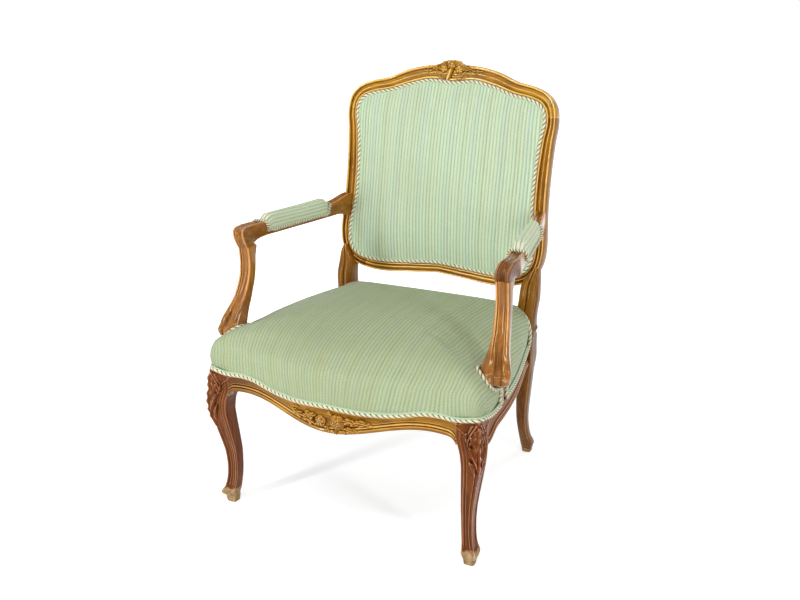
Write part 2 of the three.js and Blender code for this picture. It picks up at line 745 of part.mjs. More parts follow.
// Arm pads: a stuffed saddle over the sunk part of each arm
const padHalf = 19.5;
const padCordRadius = 2.6;
const padEndRise = 7;
const padWall = 2;
const padStationShares = [0, 0.02, 0.07, 0.16, 0.35, 0.6, 0.82, 0.93, 0.98, 1];
const padFullShares = [0, 0.35, 0.7, 0.92, 1, 1, 0.9, 0.66, 0.33, 0];

function padBody() {
  const rings = padStationShares.map((share, i) => {
    const y = lerp(padFrontY + 2 * gap, padBackY - 2 * gap, share);
    const full = padFullShares[i];
    const taper = lerp(1, 0.88, share);
    const inner = bedShare * armHalf * (share < 0.4 ? 1 : lerp(1, 0.95, share)) + gap;
    const half = Math.max(padHalf * taper * lerp(0.9, 1, full), inner + padWall);
    const bed = armTop - padSink + gap;
    const low = full > 0 ? armUnder + padLipHigh + seam + gap : bed + seam;
    const top = lerp(bed + padEndRise, padCrown, full);
    const shape = [
      [inner, low], [lerp(inner, half, 0.7), low], [half, lerp(low, top, 0.25)],
      [0.96 * half, lerp(low, top, 0.6)],
      [0.75 * half, lerp(low, top, 0.87)], [0.35 * half, lerp(low, top, 0.98)],
    ];
    const left = shape.slice().reverse().map(([a, z]) => [-a, z]);
    return [...shape, ...left, [-inner, bed], [inner, bed]].map(([out, z]) => {
      return new THREE.Vector3(armPlan(y) + out, y, z);
    });
  });
  return loft(rings);
}

// Seat upholstery: hessian over the springs, a domed pad on it and the cover round both
const hessianLow = railTop + gap;
const hessianRaise = 20;
const hessianTop = hessianLow + hessianRaise;
const coverFoot = 2.5;
const coverShoulderHeight = 38;
const shoulderLow = railTop + coverShoulderHeight;
const domeShares = [0.95, 0.84, 0.66, 0.42, 0.16];
const domeRiseShares = [0.24, 0.54, 0.81, 0.955, 0.995];
const domeAt = (i) => lerp(shoulderLow, seatCrown, domeRiseShares[i]);
const middleRing = (share, height) => seatRing(0, height, share);
const seatTip = (height) => new THREE.Vector3(0, seatMiddleY, height);
const padUnder = hessianTop + hessianThick + gap;

function seatCoverBody() {
  const rings = [
    ...domeShares.map((share, i) => middleRing(share, domeAt(i) - clothThick)).reverse(),
    seatRing(seatBulge / 4 + gap, shoulderLow - clothThick),
    seatRing(seatBulge / 4 + gap, railTop + 4 * clothThick),
    seatRing(gap, railTop + clothThick),
    seatRing(gap, (p) => p.low + 2 * gap),
    seatRing(coverFoot, (p) => p.low + 2 * gap),
    seatRing(coverFoot + gap, (p) => p.low + 2 * cordRadius + gap),
    seatRing(0.75 * seatBulge, (p) => lerp(p.low + 2 * cordRadius, shoulderLow, 0.25)),
    seatRing(seatBulge, (p) => lerp(p.low, shoulderLow, 0.6)),
    seatRing(0.6 * seatBulge, shoulderLow),
    ...domeShares.map((share, i) => middleRing(share, domeAt(i))),
  ];
  return loft(rings, false, [seatTip(seatCrown - clothThick), seatTip(seatCrown)]);
}

function seatPadBody() {
  const drop = clothThick + gap;
  return loft([
    middleRing(0.8, padUnder),
    middleRing(0.97, railTop + hessianThick + 2 * gap),
    seatRing(0, railTop + hessianThick + 2 * gap),
    seatRing(seatBulge / 4, railTop + 4 * clothThick + gap),
    seatRing(seatBulge / 4, shoulderLow - drop),
    ...[1, 3].map((i) => middleRing(domeShares[i], domeAt(i) - drop)),
  ], false, [seatTip(padUnder), seatTip(seatCrown - drop)]);
}

function seatHessianBody() {
  return loft([
    middleRing(0.8, hessianTop),
    middleRing(0.96, hessianLow),
    seatRing(-clothThick, hessianLow),
    seatRing(-clothThick, hessianLow + hessianThick),
    middleRing(0.965, hessianLow + hessianThick),
    middleRing(0.8, hessianTop + hessianThick),
  ]);
}

// The corners that the rear posts fill, and the notch behind each support's base
const cornerRoom = (clear) => block(
  postInner - clear, postOuter + overrun, postFront - clear, postBack + overrun, railLow, seatCrown,
);
const neckRoom = supportRoom(gap);
const cutRoom = (clear) => {
  const right = neckRoom.add(cornerRoom(clear));
  return right.add(mirrored(right));
};

// Springs: double cones on the webbing's crossings, under the hessian
const springShares = [-1, 0, 1];
const springSpanX = 138;
const springSpanY = 122;
const springRadius = 27;
const springWaist = 20;
const springWire = 3.6;
const springCurls = 3;
const springSteps = 7;
const springSides = 5;
const webTopAt = webLevel - gap - seam;
const webLow = webTopAt - 2 * webThick - gap;
const springLow = webTopAt + gap;
const springHigh = hessianTop - gap;

function springBody(x, y) {
  const wire = springWire / 2;
  const low = springLow + wire;
  const high = springHigh - wire;
  const steps = springCurls * springSteps;
  const rings = [];
  const at = (t) => {
    const a = 2 * Math.PI * springCurls * t;
    const r = lerp(springWaist, springRadius, Math.abs(2 * t - 1) ** 1.5);
    return new THREE.Vector3(x + r * Math.cos(a), y + r * Math.sin(a), lerp(low, high, t));
  };
  for (let i = 0; i <= steps; i += 1) {
    const t = i / steps;
    const here = at(t);
    const way = at(Math.min(t + 0.5 / steps, 1)).sub(at(Math.max(t - 0.5 / steps, 0))).normalize();
    const out = new THREE.Vector3(here.x - x, here.y - y, 0).normalize();
    const side = new THREE.Vector3().crossVectors(way, out).normalize();
    const round = new THREE.Vector3().crossVectors(side, way).normalize();
    const ring = [];
    for (let j = 0; j < springSides; j += 1) {
      const a = 2 * Math.PI * j / springSides;
      const spot = here.clone().addScaledVector(round, wire * Math.cos(a));
      ring.push(spot.addScaledVector(side, wire * Math.sin(a)));
    }
    rings.push(ring);
  }
  return loft(rings);
}

const springPitch = (springHigh - springLow - springWire) / springCurls;
console.log(`least gap between the curls of a spring: ${(springPitch - springWire).toFixed(2)} mm`);

// Webbing: three straps each way, woven over and under below the springs
const webReach = 10;
const webSlope = 12;

function strapBody(k, lengthwise) {
  const half = webWide / 2;
  const line = lengthwise ? springSpanX * springShares[k] : seatMiddleY + springSpanY * springShares[k];
  const spacing = lengthwise ? springSpanY : springSpanX;
  const middle = lengthwise ? seatMiddleY : 0;
  const start = lengthwise ? frontInner(line) - webReach : -sideInner(line + half) - webReach;
  const end = lengthwise ? rearFace - rearRailThick + webReach : sideInner(line + half) + webReach;
  const step = webThick + gap;
  const stations = [[start, 0]];
  springShares.forEach((share, j) => {
    const over = (k + j + (lengthwise ? 0 : 1)) % 2 === 0;
    const lift = over ? 0 : -step;
    const at = middle + share * spacing;
    stations.push([at - half - webSlope / 2, lift], [at + half + webSlope / 2, lift]);
  });
  stations.push([end, 0]);
  const place = (run, across, z) => {
    return lengthwise ? new THREE.Vector3(across, run, z) : new THREE.Vector3(run, across, z);
  };
  return loft(stations.map(([run, lift]) => [
    place(run, line - half, webTopAt - webThick + lift), place(run, line + half, webTopAt - webThick + lift),
    place(run, line + half, webTopAt + lift), place(run, line - half, webTopAt + lift),
  ]));
}

// Dust cover: thin black cloth tacked inside the rails under the webbing
const dustShare = 0.935;
const footRoom = block(
  legInner - gap, legOuter + overrun, legFace - overrun, legRear + gap, railLow - overrun, railTop,
).add(block(
  postInner - gap, postOuter + overrun, postFront - gap, postBack + overrun, railLow - overrun, railTop,
));
function dustCoverBody() {
  const top = webLow - gap;
  const sheet = loft([middleRing(dustShare, top - clothThick / 2), middleRing(dustShare, top)]);
  return sheet.subtract(footRoom).subtract(mirrored(footRoom));
}

// Corner blocks: glued and screwed inside the corners of the seat frame
const cornerBlockHigh = 32;
const cornerBlockLong = 62;
const cornerBlockShort = 16;
const blockDrop = 6;
const screwLong = 38;
const screwHalf = 2;
const screwHead = 4;

function prism(points, low, high) {
  const shape = new THREE.Shape(points.map(([x, y]) => new THREE.Vector2(x, y)));
  const geometry = new THREE.ExtrudeGeometry(shape, { depth: high - low, bevelEnabled: false });
  geometry.translate(0, 0, low);
  return solidOf(geometry);
}

function screwBody(spot, way, clear) {
  const profile = [
    [0, -screwLong], [screwHalf * 0.6, 0.12 * -screwLong - screwLong * 0.8], [screwHalf, -0.8 * screwLong],
    [screwHalf, -screwHead], [screwHead, 0], [0, 0],
  ];
  const points = profile.map(([r, h]) => {
    const grow = r > 0 ? clear : 0;
    return new THREE.Vector2(r + grow, h + (h < -screwHead ? -clear : 0));
  });
  if (clear > 0) {
    points.splice(-1, 1, new THREE.Vector2(screwHead + clear, overrun), new THREE.Vector2(0, overrun));
  }
  const geometry = new THREE.LatheGeometry(points, 6);
  const down = new THREE.Vector3(0, -1, 0);
  const turn = new THREE.Quaternion().setFromUnitVectors(down, way.clone().normalize());
  geometry.applyQuaternion(turn);
  geometry.translate(spot.x, spot.y, spot.z);
  return solidOf(geometry);
}

// Where the blocks stand: against the inner faces of two rails, notched round the leg or post
const blockLow = railTop - blockDrop - cornerBlockHigh;
function frontBlockPoints(clear) {
  const y0 = legFace + railThick + clear;
  const x1 = legInner - clear;
  const y1 = legRear + clear;
  const far = y1 + cornerBlockShort;
  return [
    [x1 - cornerBlockLong, y0], [x1, y0], [x1, y1],
    [sideInner(y1) - clear, y1], [sideInner(far) - clear, far],
    [sideInner(far) - clear - cornerBlockShort, far], [x1 - cornerBlockLong, y0 + cornerBlockShort],
  ];
}
function rearBlockPoints(clear) {
  const y0 = rearFace - rearRailThick - clear;
  const x1 = postInner - clear;
  const y1 = postFront - clear;
  const far = y1 - cornerBlockShort;
  return [
    [x1 - cornerBlockLong, y0], [x1 - cornerBlockLong, y0 - cornerBlockShort],
    [sideInner(far) - clear - cornerBlockShort, far], [sideInner(far) - clear, far],
    [sideInner(y1) - clear, y1],
    [x1, y1], [x1, y0],
  ];
}

const blockMiddle = blockLow + cornerBlockHigh / 2;
const frontScrewX = legInner - cornerBlockLong + cornerBlockShort;
const rearScrewX = postInner - cornerBlockLong + cornerBlockShort;
const sideScrewFront = legRear + 0.55 * cornerBlockShort;
const sideScrewRear = postFront - 0.55 * cornerBlockShort;

// Screws: one through each block into each of its two rails
const screwHeadSink = 5;
function screwSpots() {
  const headIn = cornerBlockShort + screwHeadSink;
  const frontSpot = new THREE.Vector3(frontScrewX, legFace + railThick + headIn, blockMiddle);
  const rearSpot = new THREE.Vector3(rearScrewX, rearFace - rearRailThick - headIn, blockMiddle);
  const frontSideX = sideInner(sideScrewFront) - headIn;
  const rearSideX = sideInner(sideScrewRear) - headIn;
  return [
    { name: 'block_screw_front', spot: frontSpot, way: new THREE.Vector3(0, -1, 0) },
    { name: 'block_screw_front_side', spot: new THREE.Vector3(frontSideX, sideScrewFront, blockMiddle),
      way: new THREE.Vector3(1, 0, 0) },
    { name: 'block_screw_rear_side', spot: new THREE.Vector3(rearSideX, sideScrewRear, blockMiddle),
      way: new THREE.Vector3(1, 0, 0) },
    { name: 'block_screw_rear', spot: rearSpot, way: new THREE.Vector3(0, 1, 0) },
  ];
}
const screws = screwSpots();
const screwHoles = screws.map(({ spot, way }) => screwBody(spot, way, gap));
const rightHoles = screwHoles.reduce((sum, hole) => sum.add(hole));
const allHoles = rightHoles.add(mirrored(rightHoles));

// Back upholstery, all between the frame's pieces and on their ledge
const backMiddle = backLow + 0.47 * backRise;
const backGrids = wholeLoop.map((u) => frameAt(u));
const hessianDepth = ledgeFront - gap - webThick - gap;
const coverDepth = hessianDepth - hessianThick - gap;
const coverEdge = coverDepth - clothThick;
const backShares = [0.955, 0.88, 0.7, 0.38];
const backCrownShares = [0, 0.48, 0.83, 0.97];
const padEdgeShare = 0.94;

// A point of the back's surface, pushed back square to it
function behind(x, z, depth) {
  return new THREE.Vector3(x, backAt(x, z), z).addScaledVector(backFront(x), -depth);
}

function backRing(share, depth, inset = gap) {
  return backGrids.map((at) => {
    const edge = placed(at, -at.half - inset, 0);
    return behind(edge.x * share, lerp(backMiddle, edge.z, share), depth);
  });
}

const backTip = (depth) => behind(0, backMiddle, depth);
const backDepthAt = (i) => lerp(coverEdge, -backCrown, backCrownShares[i]);

function backCoverBody() {
  return loft([
    ...backShares.map((share, i) => backRing(share, backDepthAt(i) + clothThick)).reverse(),
    backRing(1, coverDepth),
    backRing(1, coverEdge),
    ...backShares.map((share, i) => backRing(share, backDepthAt(i))),
  ], false, [backTip(-backCrown + clothThick), backTip(-backCrown)]);
}

function backPadBody() {
  const drop = clothThick + 2 * gap;
  const t = (backShares[0] - padEdgeShare) / (backShares[0] - backShares[1]);
  return loft([
    backRing(padEdgeShare, coverDepth),
    backRing(padEdgeShare, lerp(coverDepth, backDepthAt(1) + clothThick, t) + 2 * gap),
    ...[1, 3].map((i) => backRing(backShares[i], backDepthAt(i) + drop)),
  ], false, [backTip(coverDepth), backTip(-backCrown + drop)]);
}

function backSheet(depth, thick) {
  return loft([
    backRing(padEdgeShare, depth), backRing(1, depth),
    backRing(1, depth - thick), backRing(padEdgeShare, depth - thick),
  ], false, [backTip(depth), backTip(depth - thick)]);
}

const rearCrown = 5;
function backRearCoverBody() {
  const near = ledgeBack + gap;
  const far = near + clothThick;
  return loft([
    backRing(0.6, near + 0.8 * rearCrown), backRing(1, near, 2 * gap),
    backRing(1, far, 2 * gap), backRing(0.6, far + 0.8 * rearCrown),
  ], false, [backTip(near + rearCrown), backTip(far + rearCrown)]);
}

// Two webbing straps cross behind the back's hessian, with their ends on the ledge
const strapHold = 2;
function backStrap(upright) {
  const depth = ledgeFront - gap;
  const half = webWide / 2;
  const steps = 8;
  const edgeAt = (target) => {
    const inner = backGrids.map((at) => placed(at, -at.half - strapHold, ledgeFront / 2));
    return inner.reduce((best, p) => (target(p) > target(best) ? p : best));
  };
  const high = edgeAt((p) => p.z - Math.abs(p.x) / 2).z - rearCrown;
  const low = edgeAt((p) => -p.z - Math.abs(p.x) / 2).z + strapHold;
  const beside = backGrids.filter((at) => Math.abs(at.middle.z - backMiddle) < webWide && at.middle.x > 0);
  const wide = Math.min(...beside.map((at) => at.middle.x - at.half - strapHold));
  const rings = [];
  for (let i = 0; i <= steps; i += 1) {
    const t = i / steps;
    const lift = !upright && Math.abs(t - 0.5) < 0.5 / steps + 0.13 ? webThick + gap : 0;
    const spots = [-half, half].map((across) => {
      return upright ? [across, lerp(low, high, t)] : [lerp(-wide, wide, t), backMiddle + across];
    });
    const at = (k, depthHere) => behind(spots[k][0], spots[k][1], depthHere + lift);
    rings.push([at(0, depth), at(1, depth), at(1, depth - webThick), at(0, depth - webThick)]);
  }
  return loft(rings);
}

// Twisted cord trim
function cordBody(points, radius, steps, closed = false) {
  const path = new THREE.CatmullRomCurve3(points, closed, 'centripetal');
  const sides = 6;
  const shape = new THREE.Shape();
  for (let i = 0; i < sides; i += 1) {
    const a = 2 * Math.PI * i / sides;
    if (i === 0) shape.moveTo(radius, 0);
    else shape.lineTo(radius * Math.cos(a), radius * Math.sin(a));
  }
  const run = { steps, extrudePath: path, bevelEnabled: false, curveSegments: 1 };
  const geometry = new THREE.ExtrudeGeometry(shape, run);
  return solidOf(geometry);
}

const cordOut = coverFoot + 4 * gap + cordRadius;
const cordLiftShare = 1.22;
const neckFront = supportFootY - supportFootDeep / 2 - neckGrow - cordRadius - 2 * gap;
const neckBack = supportFootY + supportFootDeep / 2 + cordRadius + 2 * gap;
const cordClimb = [[0.3, 0.18], [1, 0.36], [1.3, 0.58]];

function seatCordPoint(p, out = cordOut, rise = 0) {
  const z = p.low + 2 * gap + cordLiftShare * cordRadius + rise;
  return new THREE.Vector3(p.x + out * p.out.x, p.y + out * p.out.y, z);
}

function cordUp(y) {
  const nearest = seatHalf.reduce((best, p) => (Math.abs(p.y - y) + (p.x < legInner / 2 ? legOuter : 0)
    < Math.abs(best.y - y) + (best.x < legInner / 2 ? legOuter : 0) ? p : best));
  const x = sideFace(y) - rebate;
  return cordClimb.map(([out, up]) => {
    const away = cordOut + out * (seatBulge - coverFoot);
    return new THREE.Vector3(x + away, y, nearest.low + up * (shoulderLow - trimHeight) + cordRadius);
  });
}

function footAt(y) {
  return seatCordPoint({ x: sideFace(y) - rebate, y, low: trimHeight, out: new THREE.Vector2(1, 0) });
}

function frontCord() {
  const right = seatHalf.filter((p) => p.y < neckFront - 5 * cordRadius).map((p) => seatCordPoint(p));
  const ending = [footAt(neckFront - 3 * cordRadius), footAt(neckFront), ...cordUp(neckFront)];
  const half = [...right.slice(1), ...ending];
  const left = half.slice().reverse().map((p) => new THREE.Vector3(-p.x, p.y, p.z));
  return cordBody([...left, right[0], ...half], cordRadius, 64);
}

function sideCord() {
  const endY = postFront - cordRadius - 2 * gap;
  const near = 3 * cordRadius;
  const beside = (p) => p.x > postInner && p.y > neckBack + 2 * near && p.y < endY - 2 * near;
  const between = seatHalf.filter(beside).map((p) => seatCordPoint(p));
  return cordBody([
    ...cordUp(neckBack).reverse(), footAt(neckBack), footAt(neckBack + near), ...between,
    footAt(endY - near), footAt(endY), ...cordUp(endY),
  ], cordRadius, 24);
}

function rearCord() {
  const y = rearFace - rebate + cordOut;
  const x = postInner - 2 * gap;
  const z = trimHeight + 2 * gap + cordRadius;
  const points = [-1, -0.5, 0, 0.5, 1].map((share) => new THREE.Vector3(share * x, y, z));
  return cordBody(points, cordRadius, 4);
}

function backCord() {
  const depth = coverEdge - cordRadius - 2 * gap;
  const points = backGrids.map((at) => placed(at, -at.half - cordRadius - 2 * gap, depth));
  const low = rightStations.length - 1;
  const turned = [...points.slice(low), ...points.slice(0, low)];
  const start = turned[0].clone();
  turned[0] = start.clone().setX(-gap);
  return cordBody([...turned, start.setX(gap)], cordRadius, 54);
}

function padCord() {
  const z = armUnder + padLipHigh + padCordRadius;
  const along = (y) => (y - padFrontY) / (padBackY - padFrontY);
  const out = (y) => lerp(padHalf, padHalf * 0.9, along(y)) + padCordRadius + 2 * gap;
  const top = armTop + 2 * padCordRadius + 2 * gap;
  const frontY = padFrontY - padCordRadius;
  const backY = padBackY + padCordRadius;
  const side = [0.05, 0.2, 0.4, 0.6, 0.8, 0.95].map((share) => lerp(padFrontY, padBackY, share));
  const at = (y, across, height) => new THREE.Vector3(armPlan(y) + across, y, height);
  const points = [
    at(frontY, 0, top), at(frontY, 0.7 * out(frontY), top), at(frontY, out(frontY), lerp(z, top, 0.7)),
    ...side.map((y) => at(y, out(y), z)),
    at(backY, out(backY), lerp(z, top, 0.7)), at(backY, 0.7 * out(backY), top), at(backY, 0, top),
    at(backY, -0.7 * out(backY), top), at(backY, -out(backY), lerp(z, top, 0.7)),
    ...side.slice().reverse().map((y) => at(y, -out(y), z)),
    at(frontY, -out(frontY), lerp(z, top, 0.7)), at(frontY, -0.7 * out(frontY), top),
    at(frontY, -gap - seam, top),
  ];
  return cordBody(points, padCordRadius, 30);
}

// Assembly
addPair('front_leg', darkWood, frontLegBody().subtract(frontTenon(gap)).subtract(sideFrontTenon(gap)));
add('front_rail', wood, frontRailBody(0).add(frontTenon(0)).add(mirrored(frontTenon(0))).subtract(allHoles));
addPair('side_rail', wood, sideRailBody(0)
  .add(sideFrontTenon(0)).add(sideRearTenon(0)).subtract(footTenon(gap)).subtract(rightHoles));
const rearRail = block(
  -postInner + gap, postInner - gap, rearFace - rearRailThick, rearFace, rearLow, railTop,
);
add('rear_rail', rawWood, rearRail
  .subtract(rebateTool(0)).add(rearTenon(0)).add(mirrored(rearTenon(0))).subtract(allHoles));
addPair('rear_post', wood, rearPost().subtract(armTenon(gap)));
add('crest_rail', wood, crestRail());
add('back_lower_rail', wood, lowerRail());
addPair('arm', wood, armBody().add(armTenon(0)).subtract(topTenon(gap)));
addPair('arm_support', wood, armSupport());

const frontBlock = prism(frontBlockPoints(gap), blockLow, blockLow + cornerBlockHigh).subtract(rightHoles);
const rearBlock = prism(rearBlockPoints(gap), blockLow, blockLow + cornerBlockHigh).subtract(rightHoles);
addPair('front_corner_block', rawWood, frontBlock);
addPair('rear_corner_block', rawWood, rearBlock);
for (const { name, spot, way } of screws) addPair(name, steel, screwBody(spot, way, 0));

for (const lengthwise of [true, false]) {
  springShares.forEach((share, k) => {
    add(`seat_strap_${lengthwise ? 'long' : 'cross'}_${k + 1}`, plainCloth, strapBody(k, lengthwise));
  });
}
springShares.forEach((along, i) => springShares.forEach((across, j) => {
  const spring = springBody(across * springSpanX, seatMiddleY + along * springSpanY);
  add(`seat_spring_${i * springShares.length + j + 1}`, steel, spring);
}));
add('seat_hessian', plainCloth, seatHessianBody().subtract(cutRoom(gap)));
add('seat_stuffing', hairPad, seatPadBody().subtract(cutRoom(2 * gap)));
add('seat_cover', greenCloth, seatCoverBody().subtract(cutRoom(gap)));
add('dust_cover', blackCloth, dustCoverBody());
add('seat_trim_front', creamCord, frontCord());
addPair('seat_trim', creamCord, sideCord());
add('seat_trim_rear', creamCord, rearCord());

add('back_strap_upright', plainCloth, backStrap(true));
add('back_hessian', plainCloth, backSheet(hessianDepth, hessianThick));
add('back_stuffing', hairPad, backPadBody());
add('back_cover', greenCloth, backCoverBody());
add('back_rear_cover', greenCloth, backRearCoverBody());
add('back_trim', creamCord, backCord());
addPair('arm_pad', greenCloth, padBody());
addPair('arm_pad_trim', creamCord, padCord());

const box = new THREE.Box3().setFromObject(chair);
chair.position.set(-(box.min.x + box.max.x) / 2, -(box.min.y + box.max.y) / 2, -box.min.z);

export default chair;
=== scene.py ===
"""A carved armchair with open padded arms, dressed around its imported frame.

Lengths are in millimetres in the chair's own frame (z up, the sitter faces -y) until each mesh is placed.
"""

import math

import bpy
import numpy as np
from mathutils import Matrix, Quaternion, Vector, kdtree


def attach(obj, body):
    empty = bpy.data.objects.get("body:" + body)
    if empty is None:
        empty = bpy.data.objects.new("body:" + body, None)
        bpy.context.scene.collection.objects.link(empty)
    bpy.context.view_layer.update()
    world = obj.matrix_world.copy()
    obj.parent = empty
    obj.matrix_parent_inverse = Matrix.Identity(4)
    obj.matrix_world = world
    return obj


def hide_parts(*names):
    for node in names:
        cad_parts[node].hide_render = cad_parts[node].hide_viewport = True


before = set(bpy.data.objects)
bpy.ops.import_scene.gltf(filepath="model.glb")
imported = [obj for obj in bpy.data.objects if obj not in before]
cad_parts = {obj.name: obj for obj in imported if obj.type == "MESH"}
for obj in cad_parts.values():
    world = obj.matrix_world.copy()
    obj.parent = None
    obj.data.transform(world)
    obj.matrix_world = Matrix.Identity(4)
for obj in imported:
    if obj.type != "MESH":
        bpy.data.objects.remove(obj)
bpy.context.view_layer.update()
bpy.ops.object.select_all(action="DESELECT")


# Front legs: two cabriole legs of polished beech set on the diagonal, each sawn and carved from one block.
# The arris is a bead that parts at the knee round an acanthus leaf, and the toe ends in a worn bare shoe.

middle_shift = -22.76
rail_top = 350
trim_height = 318
trim_rise = 20
rebate = 6
leg_x = 301
leg_y = -248
leg_block = 50
shoulder = 292
knee_throw = 10.5
leg_keys = [0, 0.034, 0.07, 0.1, 0.137, 0.178, 0.247, 0.325, 0.428, 0.52, 0.623, 0.726, 0.822, 0.89, 0.952, 1]
throw_keys = [0, 0, 0.3, 0.15, -0.2, -0.55, -0.86, -0.97, -0.88, -0.5, 0.05, 0.6, 1, 0.93, 0.5, 0]
side_keys = [0.4, 0.44, 0.55, 0.59, 0.55, 0.5, 0.485, 0.49, 0.53, 0.585, 0.66, 0.73, 0.8, 0.86, 0.94, 1]


def through(at, keys, values):
    """A smooth line through given values, which never swings past them."""
    keys, values = np.asarray(keys, float), np.asarray(values, float)
    at = np.clip(at, keys[0], keys[-1])
    step = np.diff(keys)
    rise = np.diff(values) / step
    product = rise[:-1] * rise[1:]
    slope = np.concatenate([[rise[0]], np.where(product > 0, 2 * product / (rise[:-1] + rise[1:] + 1e-12), 0), [rise[-1]]])
    i = np.clip(np.searchsorted(keys, at, side="right") - 1, 0, len(keys) - 2)
    s = (at - keys[i]) / step[i]
    start = (2 * s**3 - 3 * s**2 + 1) * values[i] + (s**3 - 2 * s**2 + s) * step[i] * slope[i]
    return start + (3 * s**2 - 2 * s**3) * values[i + 1] + (s**3 - s**2) * step[i] * slope[i + 1]


def soft_step(low, high, value):
    t = np.clip((value - low) / (high - low), 0, 1)
    return t * t * (3 - 2 * t)


def bell(value, middle, width):
    return np.exp(-(((value - middle) / width) ** 2))


def bead(value, middle, half):
    """The half-round of a bead, 1 on its crown and 0 at its quirks."""
    return np.sqrt(np.clip(1 - ((value - middle) / half) ** 2, 0, 1))


def only(piece):
    bpy.ops.object.select_all(action="DESELECT")
    piece.select_set(True)
    bpy.context.view_layer.objects.active = piece


def skin(name, rows, around=True, loop=False, weave=None):
    """A grid primitive laid over rows of points, wrapped round on itself and closed at its ends."""
    if around:
        rows = np.concatenate([rows, rows[:, :1]], 1)
    if loop:
        rows = np.concatenate([rows, rows[:1]], 0)
    long, wide = rows.shape[:2]
    bpy.ops.object.select_all(action="DESELECT")
    bpy.ops.mesh.primitive_grid_add(x_subdivisions=wide - 1, y_subdivisions=long - 1, size=1)
    piece = bpy.context.object
    piece.name = piece.data.name = name
    piece.data.vertices.foreach_set("co", ((rows + (0, middle_shift, 0)) / 1000).ravel())
    if weave is not None:
        if weave.shape[1] < wide:
            weave = np.concatenate([weave, weave[:, :1]], 1)
        corners = np.empty(len(piece.data.loops), int)
        piece.data.loops.foreach_get("vertex_index", corners)
        piece.data.uv_layers[0].uv.foreach_set("vector", (weave.reshape(-1, 2)[corners] / 1000).ravel())
    piece.data.update()
    bpy.ops.object.mode_set(mode="EDIT")
    bpy.ops.mesh.select_all(action="SELECT")
    bpy.ops.mesh.remove_doubles(threshold=0.000002)
    if around and not loop:
        bpy.ops.mesh.select_all(action="DESELECT")
        bpy.ops.mesh.select_non_manifold()
        bpy.ops.mesh.fill_holes(sides=0)
        bpy.ops.mesh.select_face_by_sides(number=4, type="GREATER", extend=False)
        bpy.ops.mesh.poke()
    bpy.ops.mesh.select_all(action="SELECT")
    bpy.ops.mesh.normals_make_consistent(inside=False)
    bpy.ops.object.mode_set(mode="OBJECT")
    return piece


def joined(pieces, name):
    only(pieces[0])
    for piece in pieces:
        piece.select_set(True)
    bpy.ops.object.join()
    pieces[0].name = name
    pieces[0].data.name = name
    return pieces[0]


def across(piece, name):
    """The mirror image of a piece, as the chair's other side."""
    twin = piece.copy()
    twin.data = piece.data.copy()
    twin.name = twin.data.name = name
    bpy.context.collection.objects.link(twin)
    only(twin)
    spots = np.empty(3 * len(twin.data.vertices))
    twin.data.vertices.foreach_get("co", spots)
    spots[0::3] *= -1
    twin.data.vertices.foreach_set("co", spots)
    twin.data.flip_normals()
    twin.data.update()
    return twin


def mark_hollows(piece, passes=2):
    """Stores how hollow or proud the surface is at each point, for the dark wax with painted shade in the hollows and
    the rubbed edges with painted highlights.
    """
    mesh = piece.data
    count = len(mesh.vertices)
    spots, normals = np.empty(3 * count), np.empty(3 * count)
    mesh.vertices.foreach_get("co", spots)
    mesh.vertex_normals.foreach_get("vector", normals)
    spots, normals = spots.reshape(-1, 3) * 1000, normals.reshape(-1, 3)
    ends = np.empty(2 * len(mesh.edges), int)
    mesh.edges.foreach_get("vertices", ends)
    a, b = ends.reshape(-1, 2).T
    way = spots[b] - spots[a]
    square = np.maximum((way**2).sum(1), 0.04)
    touch = np.bincount(a, minlength=count) + np.bincount(b, minlength=count)
    lift = np.bincount(a, (way * normals[a]).sum(1) / square, count)
    lift = (lift - np.bincount(b, (way * normals[b]).sum(1) / square, count)) / np.maximum(touch, 1)
    for _ in range(passes):
        near = np.bincount(a, lift[b], count) + np.bincount(b, lift[a], count)
        lift = 0.4 * lift + 0.6 * near / np.maximum(touch, 1)
    mark = mesh.attributes.new("hollow", "FLOAT", "POINT")
    mark.data.foreach_set("value", np.clip(4 * lift, -1, 1))


def finished(piece, look, slot, *nodes, angle=40):
    """Gives a piece its finish, and puts it in the place of its frame solids."""
    only(piece)
    bpy.ops.object.shade_smooth_by_angle(angle=math.radians(angle))
    piece.data.materials.clear()
    piece.data.materials.append(look)
    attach(piece, "root")
    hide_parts(*nodes)


def leaf(p, q, foot, tip, bow, half, lobes, height):
    """The relief of a carved acanthus leaf from foot to tip, its lobes turned towards the tip."""
    foot, tip = np.array(foot, float), np.array(tip, float)
    way = tip - foot
    long = math.hypot(*way)
    t = ((p - foot[0]) * way[0] + (q - foot[1]) * way[1]) / long**2
    a = ((q - foot[1]) * way[0] - (p - foot[0]) * way[1]) / long - 4 * bow * t * (1 - t)
    inside = np.clip(t, 0.001, 0.999)
    lobe = np.cos(2 * math.pi * lobes * (inside + 0.3 * np.abs(a) / half))
    edge = half * np.sin(math.pi * inside**0.8) ** 0.7 * (1 + 0.24 * lobe)
    body = soft_step(-0.3, 1.2, edge - np.abs(a)) * soft_step(0, 0.07, t) * soft_step(1, 0.6, t) ** 0.6
    fold = 0.62 + 0.3 * (np.abs(a) / half) ** 2 + 0.2 * lobe * soft_step(0.1, 0.5, np.abs(a) / half)
    return height * body * (fold + 0.4 * bell(a, 0, 0.09 * half + 0.5) - 0.45 * bell(np.abs(a), 0.2 * half + 0.8, 0.6))


